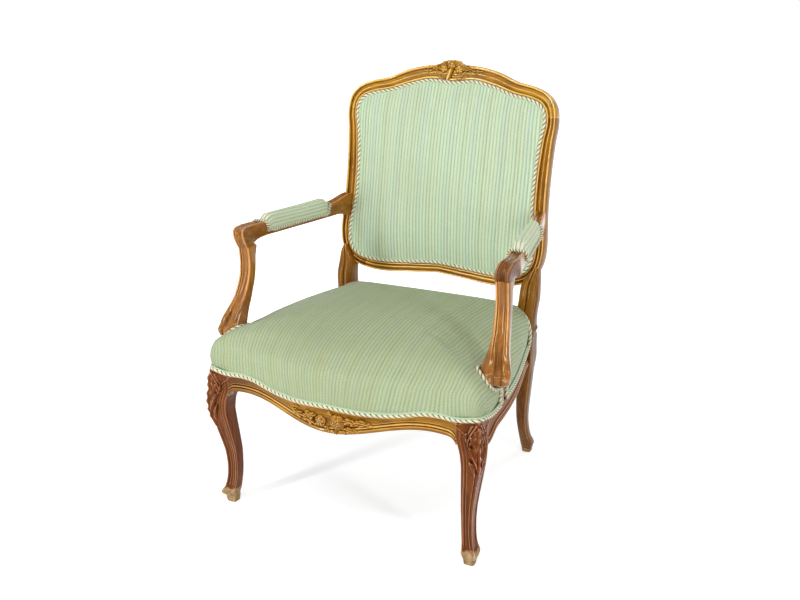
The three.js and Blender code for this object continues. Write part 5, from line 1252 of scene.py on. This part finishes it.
def twisted(name, points, radius, pitch, closed=False, sides=20, step=1.3):
    """A cord along a smooth line: its strands bulge on each side and turn once in each pitch."""
    line = smooth_line(points, closed, step)
    if closed:
        way = np.roll(line, -1, 0) - np.roll(line, 1, 0)
    else:
        way = np.gradient(line, axis=0)
    way /= np.linalg.norm(way, axis=1, keepdims=True)
    up = np.zeros_like(line)
    last = np.array([0.0, 0.0, 1.0]) if abs(way[0, 2]) < 0.9 else np.array([0.0, 1.0, 0.0])
    for k, w in enumerate(way):
        last = last - (last @ w) * w
        last /= np.linalg.norm(last)
        up[k] = last
    side = np.cross(way, up)
    far = np.concatenate([[0], np.cumsum(np.linalg.norm(np.diff(line, axis=0), axis=1))])
    total = far[-1] + (np.linalg.norm(line[0] - line[-1]) if closed else 0)
    if closed:
        pitch = total / max(round(total / pitch), 1)
    a = np.linspace(0, 2 * math.pi, sides, endpoint=False)[None, :]
    lay = a - 2 * math.pi * far[:, None] / pitch
    swell = radius * (0.74 + 0.26 * np.abs(np.cos(lay)) ** 0.8 + 0.1 * bell(np.abs(np.sin(lay)), 1, 0.06))
    spots = line[:, None] + swell[..., None] * (np.cos(a)[..., None] * up[:, None] + np.sin(a)[..., None] * side[:, None])
    wrap = np.concatenate([lay, lay[:, :1] + 2 * math.pi], 1) / (2 * math.pi)
    run = np.repeat(far[:, None], sides + 1, 1)
    if closed:
        wrap = np.vstack([wrap, wrap[:1] - total / pitch])
        run = np.vstack([run, 0 * run[:1] + total])
    return skin(name, spots, loop=closed, weave=np.stack([wrap, run], -1))


cream, leaf_green, mint_thread = (0.78, 0.72, 0.5), (0.07, 0.11, 0.045), (0.5, 0.66, 0.46)
cord_cloth = laid_cord("cream_and_green_cord", cream, leaf_green, 0.19)
braid_cloth = laid_cord("mint_braid", mint_thread, (0.3, 0.42, 0.26), 0.12)


def trim(name, points, radius, inward, closed=False, braided=slice(None)):
    """A cord with its braid beside it, moved over by the given way, along all or a part of its points."""
    main = twisted(name, points, radius, 6 * radius, closed)
    braid = twisted(name + "_braid", points[braided] + inward, 0.52 * radius, 5.5, closed, 12)
    main.data.materials.clear()
    main.data.materials.append(cord_cloth)
    braid.data.materials.clear()
    braid.data.materials.append(braid_cloth)
    return joined([main, braid], name)


def placed_trim(piece, *nodes):
    only(piece)
    bpy.ops.object.shade_smooth_by_angle(angle=math.radians(60))
    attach(piece, "root")
    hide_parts(*nodes)


foot_side = 4.3 + cord_radius - 0.6
neck_front, neck_back = -129 - 16 - cord_radius - 0.6, -129 + 16 + cord_radius + 0.6


def laid_on(points):
    """Points moved onto the cover, where the cord is glued round a support's foot and base."""
    made = []
    for spot in points:
        _, near, normal, _ = seat_cover.closest_point_on_mesh((Vector(spot) + Vector((0, middle_shift, 0))) / 1000)
        made.append(np.array(near) * 1000 - (0, middle_shift, 0) + 0.7 * cord_radius * np.array(normal))
    return made


edge, out, low = seat_outline(240)
cord_line = np.column_stack([edge + foot_side * out, low + 0.6 + 1.22 * cord_radius])
bpy.context.view_layer.update()
front_part = cord_line[(cord_line[:, 0] >= 0) & (cord_line[:, 1] < neck_front - 10)]
front_part = front_part[np.argsort(np.arctan2(front_part[:, 1] - seat_middle, front_part[:, 0]))]
beside = np.array([(float(side_face(neck_front)) - rebate + foot_side, neck_front, trim_height + 0.6 + 1.22 * cord_radius)])
round_front = laid_on([(322, -150, 340), (324, -152, 354), (327, -160, 364), (329, -172, 371), (330, -188, 377), (327, -202, 384), (318, -212, 391),
                       (306, -217, 397), (294, -214, 402), (284, -203, 405), (279, -186, 407)])
front_half = np.vstack([front_part[1:], beside, round_front])
front_line = np.vstack([front_half[::-1] * (-1, 1, 1), front_part[:1] * (0, 1, 1), front_half])
braid_way = np.array([0, 0, 1.35 * cord_radius])
loose = len(round_front)
front_trim_piece = trim("seat_cord_front", front_line, cord_radius, braid_way, braided=slice(loose, -loose))
placed_trim(front_trim_piece, "seat_trim_front")

end_y = post_front - cord_radius - 0.6
side_part = cord_line[(cord_line[:, 0] > post_inner) & (cord_line[:, 1] > neck_back + 12) & (cord_line[:, 1] < end_y - 10)]
side_part = side_part[np.argsort(side_part[:, 1])]
corner = lambda y: np.array([(float(side_face(y)) - rebate + foot_side, y, trim_height + 0.6 + 1.22 * cord_radius)])
x = float(corner(end_y)[0, 0])
round_post = [(x + 3, end_y, 345), (x + 1, end_y, 374), (x - 9, end_y - 1, 399), (post_inner + 3, end_y - 2, 408), (post_inner - 7, end_y + 9, 406),
              (post_inner - 9, end_y + 24, 399)]
round_back = laid_on([(279, -178, 407), (282, -166, 406), (291, -157, 403), (300, -149, 399), (305, -138, 396), (309, -126, 393), (314, -117, 388),
                      (320, -109, 378), (323, -107, 362), (322, -106, 346), (321, -105, 336)])
side_line = np.vstack([round_back, corner(neck_back + 4), side_part, corner(end_y), round_post])
side_trim = trim("seat_cord_left", side_line, cord_radius, braid_way - (2, 0, 0.3), braided=slice(len(round_back), -len(round_post)))
placed_trim(across(side_trim, "seat_cord_right"), "seat_trim_right")
placed_trim(side_trim, "seat_trim_left")

x = np.linspace(-post_inner + 0.6, post_inner - 0.6, 12)
rear_line = np.stack([x, 0 * x + rear_face - rebate + foot_side, 0 * x + trim_height + 0.6 + cord_radius], 1)
placed_trim(trim("seat_cord_rear", rear_line, cord_radius, braid_way), "seat_trim_rear")


# Back: webbing and hessian on the frame's inner ledge, a thin stuffed panel and the cover in the same ribbed cloth.
# The ribs stand upright; the rear side is closed by a plain panel of the cloth.

back_middle, back_crown, ledge_front, ledge_back = back_low + 0.47 * back_rise, 24, 9, 28
back_edge = smooth_line(np.vstack([frame_shares, frame_shares[-2:0:-1] * (-1, 1, 1)]) * (back_half, back_rise, frame_half) + (0, back_low, 0), True, 6.0)
hessian_depth = ledge_front - 2.0 - 0.6
cover_depth = hessian_depth - 1.5


def panel(rows, inset):
    """Rings inside the back frame: each shrunk towards the panel's middle and set at its depth."""
    middle_line, out, front, half = frame_frames(back_edge)
    edge = middle_line - out * (half + inset)[:, None]
    made = []
    for share, depth in rows:
        x, z = edge[:, 0] * share, back_middle + (edge[:, 2] - back_middle) * share
        made.append(np.stack([x, back_at(x, z), z], 1) - back_front(x) * depth)
    return np.array(made)


def flat_panel(near, far, share_from=1.0):
    inner = [(s, near) for s in np.linspace(0.05, share_from, 12)]
    return [(0, near)] + inner + [(share_from, (near + far) / 2)] + [(s, far) for s in np.linspace(share_from, 0.05, 12)] + [(0, far)]


strap_line = np.linspace(back_low + 3, back_low + back_rise - 24, 90)[:, None]
side = np.array([(-25, 0), (25, 0), (25, 2.0), (-25, 2.0)])
x, depth = side[None, :, 0] + 0 * strap_line, ledge_front - 0.3 - side[None, :, 1] + 0 * strap_line
z = strap_line + 0 * x
strap = skin("back_webbing", np.stack([x, back_at(x, z), z], -1) - back_front(x) * depth[..., None])
finished(strap, jute, "hessian", "back_strap_upright")
back_hessian = skin("back_hessian_cloth", panel(flat_panel(hessian_depth, hessian_depth - 1.2), 0.6))
finished(back_hessian, woven("back_hessian", (0.5, 0.38, 0.22), (0.2, 0.14, 0.07), 1.3), "hessian", "back_hessian")


def crowned(share, fall=0.0):
    return cover_depth - 1.4 - (back_crown + cover_depth - 1.4) * (1 - share**3.0) ** 0.72 + fall


stuffing_rows = [(0, cover_depth - 0.4)] + [(s, cover_depth - 0.4) for s in np.linspace(0.06, 0.955, 14)]
stuffing_rows += [(s, min(crowned(s) + 3.0, cover_depth - 0.8)) for s in np.linspace(0.95, 0.05, 22)] + [(0, crowned(0) + 3)]
back_stuffing = skin("back_horsehair", panel(stuffing_rows, 0.6))
finished(back_stuffing, woven("back_horsehair", (0.2, 0.15, 0.1), (0.05, 0.035, 0.025), 2.4, 0.7, 1.0), "stuffing", "back_stuffing")

back_edge = smooth_line(np.vstack([frame_shares, frame_shares[-2:0:-1] * (-1, 1, 1)]) * (back_half, back_rise, frame_half) + (0, back_low, 0), True, 3.6)
shares = np.concatenate([[0, 0.02], np.linspace(0.05, 0.9, 40), np.linspace(0.912, 1, 18)])
spots = panel([(s, crowned(s)) for s in shares], 0.3)
back_cover = skin("back_cloth", spots, weave=spots[..., [0, 2]])


def back_tacks(p):
    return (back_at(p[:, 0], p[:, 2]) - p[:, 1]) < 2


swelled(back_cover, 0.006, back_tacks, 4, 3.0)
back_cloth = ribbed_cloth("back_ribbed_cloth", 0.1)
finished(back_cover, back_cloth, "striped_cloth", "back_cover", angle=70)

near = ledge_back + 0.3
rear_rows = [(s, near + 1.4 + 5 * (1 - s**3) ** 0.8) for s in np.concatenate([[0, 0.03], np.linspace(0.08, 1, 30)])]
spots = panel(rear_rows, 0.6)
rear_panel = skin("back_rear_cloth", spots, weave=spots[..., [0, 2]])
finished(rear_panel, back_cloth, "striped_cloth", "back_rear_cover", angle=70)

middle_line, out, front, half = frame_frames(back_edge[::4])
around = middle_line - out * (half + cord_radius + 0.6)[:, None] - front * (cover_depth - 1.4 - cord_radius - 0.6)
back_cord = trim("back_cord", around, cord_radius, -1.3 * cord_radius * out, closed=True)
placed_trim(back_cord, "back_trim")


# Arm pads: horsehair under the ribbed cloth, laid in the sunk part of each arm and tacked along its sides.
# The cloth is gathered in small pleats at the front, and a finer cord runs round it.

pad_half, pad_crown, pad_radius = 18.6, 647, 3.3
share = np.concatenate([np.linspace(0, 0.12, 16), np.linspace(0.13, 0.88, 60), np.linspace(0.89, 1, 16)])[:, None]
y = pad_front + 0.6 + share * (pad_back - pad_front - 1.2)
full = np.minimum(1 - (1 - np.clip(share / 0.13, 0, 1)) ** 3.2, 1 - (1 - np.clip((1 - share) / 0.11, 0, 1)) ** 2.8)
taper = 1 - 0.12 * share
low_line = arm_top - pad_sink + 0.3 + (under + lip + 0.45 - arm_top + pad_sink - 0.3) * soft_step(0, 0.35, full)
high_line = arm_top - pad_sink + 6 + (pad_crown - arm_top + pad_sink - 6) * full
a = np.linspace(0, math.pi, 73)[None, :]
n = 2.5
radius = (np.abs(np.cos(a)) ** n + np.abs(np.sin(a)) ** n) ** (-1 / n)
wide = pad_half * taper * (0.78 + 0.22 * full**0.7)
across_part = wide * radius * np.cos(a)
up = low_line + (high_line - low_line) * radius * np.sin(a)
pleats = 3.6 * bell(share, 0.05, 0.12) + 1.6 * bell(share, 0.97, 0.06)
up = up - pleats * np.sin(a) * (1 - np.abs(np.sin(7 * a + 0.4 * np.sin(2.3 * a) - 2 * share)))
bottom_across = np.linspace(-0.7, 0.7, 8)[None, :] * wide
bottom_up = 0 * bottom_across + arm_top - pad_sink + 0.3
spots_across = np.concatenate([across_part, bottom_across], 1)
spots_up = np.concatenate([up, bottom_up], 1)
run = y + 0 * spots_across
spots = np.stack([arm_line(run) + spots_across, run, spots_up], -1)
girth = np.concatenate([np.zeros((len(y), 1)), np.cumsum(np.linalg.norm(np.diff(spots, axis=1), axis=2), 1)], 1)
arm_pad = skin("arm_pad_cloth_left", spots, weave=np.stack([girth - girth[:, 36:37] + 400, run], -1))
swelled(arm_pad, 0.004, lambda p: p[:, 2] < under + lip + 6, 2.5)
mark_hollows(arm_pad, 1)
# The pads' pleats get painted shade in their hollows and painted highlight on their crests.
pad_cloth = ribbed_cloth("pad_ribbed_cloth", 0.3, (0.66, 0.62, 0.42), gathered=True)
right_pad = across(arm_pad, "arm_pad_cloth_right")
finished(right_pad, pad_cloth, "striped_cloth", "arm_pad_right", angle=70)
finished(arm_pad, pad_cloth, "striped_cloth", "arm_pad_left", angle=70)

z = under + lip + pad_radius - 0.2
top = arm_top + pad_radius - 0.8
front_y, back_y = pad_front - pad_radius + 1.2, pad_back - 2.5


def pad_side(y):
    return pad_half * (1 - 0.12 * (y - pad_front) / (pad_back - pad_front)) + 0.6 * pad_radius


half_line = [(0, front_y, top), (0.4 * pad_side(front_y), front_y, top), (0.75 * pad_side(front_y), front_y, top - 1.5),
             (0.97 * pad_side(front_y), front_y + 1.5, top - 8), (0.97 * pad_side(front_y), front_y + 6, z + 6)]
half_line += [(pad_side(y), y, z) for y in pad_front + np.array([0.07, 0.2, 0.4, 0.6, 0.8, 0.92]) * (pad_back - pad_front)]
half_line += [(0.92 * pad_side(back_y), back_y - 6, top - 8), (0.7 * pad_side(back_y), back_y, top - 1.5), (0.4 * pad_side(back_y), back_y, top),
              (0, back_y, top)]
half_line = np.array(half_line)
loop_line = np.vstack([half_line, half_line[-2:0:-1] * (-1, 1, 1)])
loop_line[:, 0] += arm_line(loop_line[:, 1])
pad_cord = twisted("arm_pad_cord_left", loop_line, pad_radius, 12, closed=True, sides=16, step=1.2)
pad_cord.data.materials.clear()
pad_cord.data.materials.append(laid_cord("fine_cord", (0.86, 0.8, 0.58), leaf_green, 0.3))
placed_trim(across(pad_cord, "arm_pad_cord_right"), "arm_pad_trim_right")
placed_trim(pad_cord, "arm_pad_trim_left")


# The studio: a pale floor and wall tone under soft, even light, seen from the photograph's place.

bpy.ops.object.select_all(action="DESELECT")
bpy.ops.mesh.primitive_plane_add(size=40, location=(0, 0, 0))
floor = bpy.context.object
floor.name = "floor"
paper = bpy.data.materials.new("floor_paper")
paper.use_nodes = True
nodes, links = paper.node_tree.nodes, paper.node_tree.links
paper_shader = nodes["Principled BSDF"]
paper_shader.inputs["Base Color"].default_value = (0.86, 0.86, 0.86, 1)
paper_shader.inputs["Roughness"].default_value = 0.9
glow = nodes.new("ShaderNodeEmission")
place = nodes.new("ShaderNodeTexCoord")
far = nodes.new("ShaderNodeVectorMath")
far.operation = "LENGTH"
links.new(place.outputs["Object"], far.inputs[0])
fade = nodes.new("ShaderNodeMapRange")
for socket, value in zip(("From Min", "From Max", "To Min", "To Max"), (0.6, 2.2, 0.56, 1.0)):
    fade.inputs[socket].default_value = value
links.new(far.outputs["Value"], fade.inputs["Value"])
links.new(fade.outputs["Result"], glow.inputs["Strength"])
path = nodes.new("ShaderNodeLightPath")
seen = nodes.new("ShaderNodeMath")
seen.operation = "MAXIMUM"
links.new(path.outputs["Is Camera Ray"], seen.inputs[0])
links.new(path.outputs["Is Glossy Ray"], seen.inputs[1])
both = nodes.new("ShaderNodeMath")
both.operation = "MAXIMUM"
links.new(seen.outputs[0], both.inputs[0])
links.new(path.outputs["Is Transmission Ray"], both.inputs[1])
lit = nodes.new("ShaderNodeAddShader")
links.new(paper_shader.outputs[0], lit.inputs[0])
links.new(glow.outputs[0], lit.inputs[1])
choice = nodes.new("ShaderNodeMixShader")
links.new(both.outputs[0], choice.inputs[0])
links.new(paper_shader.outputs[0], choice.inputs[1])
links.new(lit.outputs[0], choice.inputs[2])
links.new(choice.outputs[0], nodes["Material Output"].inputs["Surface"])
floor.data.materials.append(paper)

world = bpy.data.worlds.new("studio")
world.use_nodes = True
bpy.context.scene.world = world
nodes, links = world.node_tree.nodes, world.node_tree.links
air = nodes["Background"]
air.inputs["Color"].default_value = (1, 1, 1, 1)
air.inputs["Strength"].default_value = 0.44
backdrop = nodes.new("ShaderNodeBackground")
backdrop.inputs["Color"].default_value = (1, 1, 1, 1)
backdrop.inputs["Strength"].default_value = 1
path = nodes.new("ShaderNodeLightPath")
seen = nodes.new("ShaderNodeMath")
seen.operation = "MAXIMUM"
links.new(path.outputs["Is Camera Ray"], seen.inputs[0])
links.new(path.outputs["Is Glossy Ray"], seen.inputs[1])
choice = nodes.new("ShaderNodeMixShader")
links.new(seen.outputs[0], choice.inputs[0])
links.new(air.outputs[0], choice.inputs[1])
links.new(backdrop.outputs[0], choice.inputs[2])
links.new(choice.outputs[0], nodes["World Output"].inputs["Surface"])


def lamp(name, place, aim, wide, tall, power):
    light = bpy.data.lights.new(name, "AREA")
    light.shape = "RECTANGLE"
    light.size, light.size_y, light.energy = wide, tall, power
    lantern = bpy.data.objects.new(name, light)
    bpy.context.collection.objects.link(lantern)
    lantern.location = place
    way = Vector(aim) - Vector(place)
    lantern.rotation_euler = way.to_track_quat("-Z", "Y").to_euler()


lamp("key_light", (-1.5, -2.9, 1.15), (0, 0, 0.6), 0.24, 2.1, 56)
lamp("fill_light", (3.0, -1.5, 1.1), (0, 0, 0.6), 0.24, 2.0, 32)
lamp("top_light", (0.6, -1.5, 2.7), (0, 0, 0.5), 1.5, 0.3, 18)
lamp("rim_light", (1.2, 2.4, 2.6), (0, 0, 0.6), 1.0, 0.6, 14)

view = bpy.data.cameras.new("photo_camera")
view.sensor_width = 36
view.lens = 43.83
eye = bpy.data.objects.new("photo_camera", view)
bpy.context.collection.objects.link(eye)
heading, dip, roll = math.radians(26.9), math.radians(18.09), math.radians(-0.5)
eye.location = (0.974, -1.91076, 1.157)
eye.rotation_mode = "QUATERNION"
aim = Vector((-math.sin(heading) * math.cos(dip), math.cos(heading) * math.cos(dip), -math.sin(dip)))
eye.rotation_quaternion = aim.to_track_quat("-Z", "Y") @ Quaternion((0, 0, 1), roll)
bpy.context.scene.camera = eye
bpy.context.scene.view_settings.view_transform = "Standard"
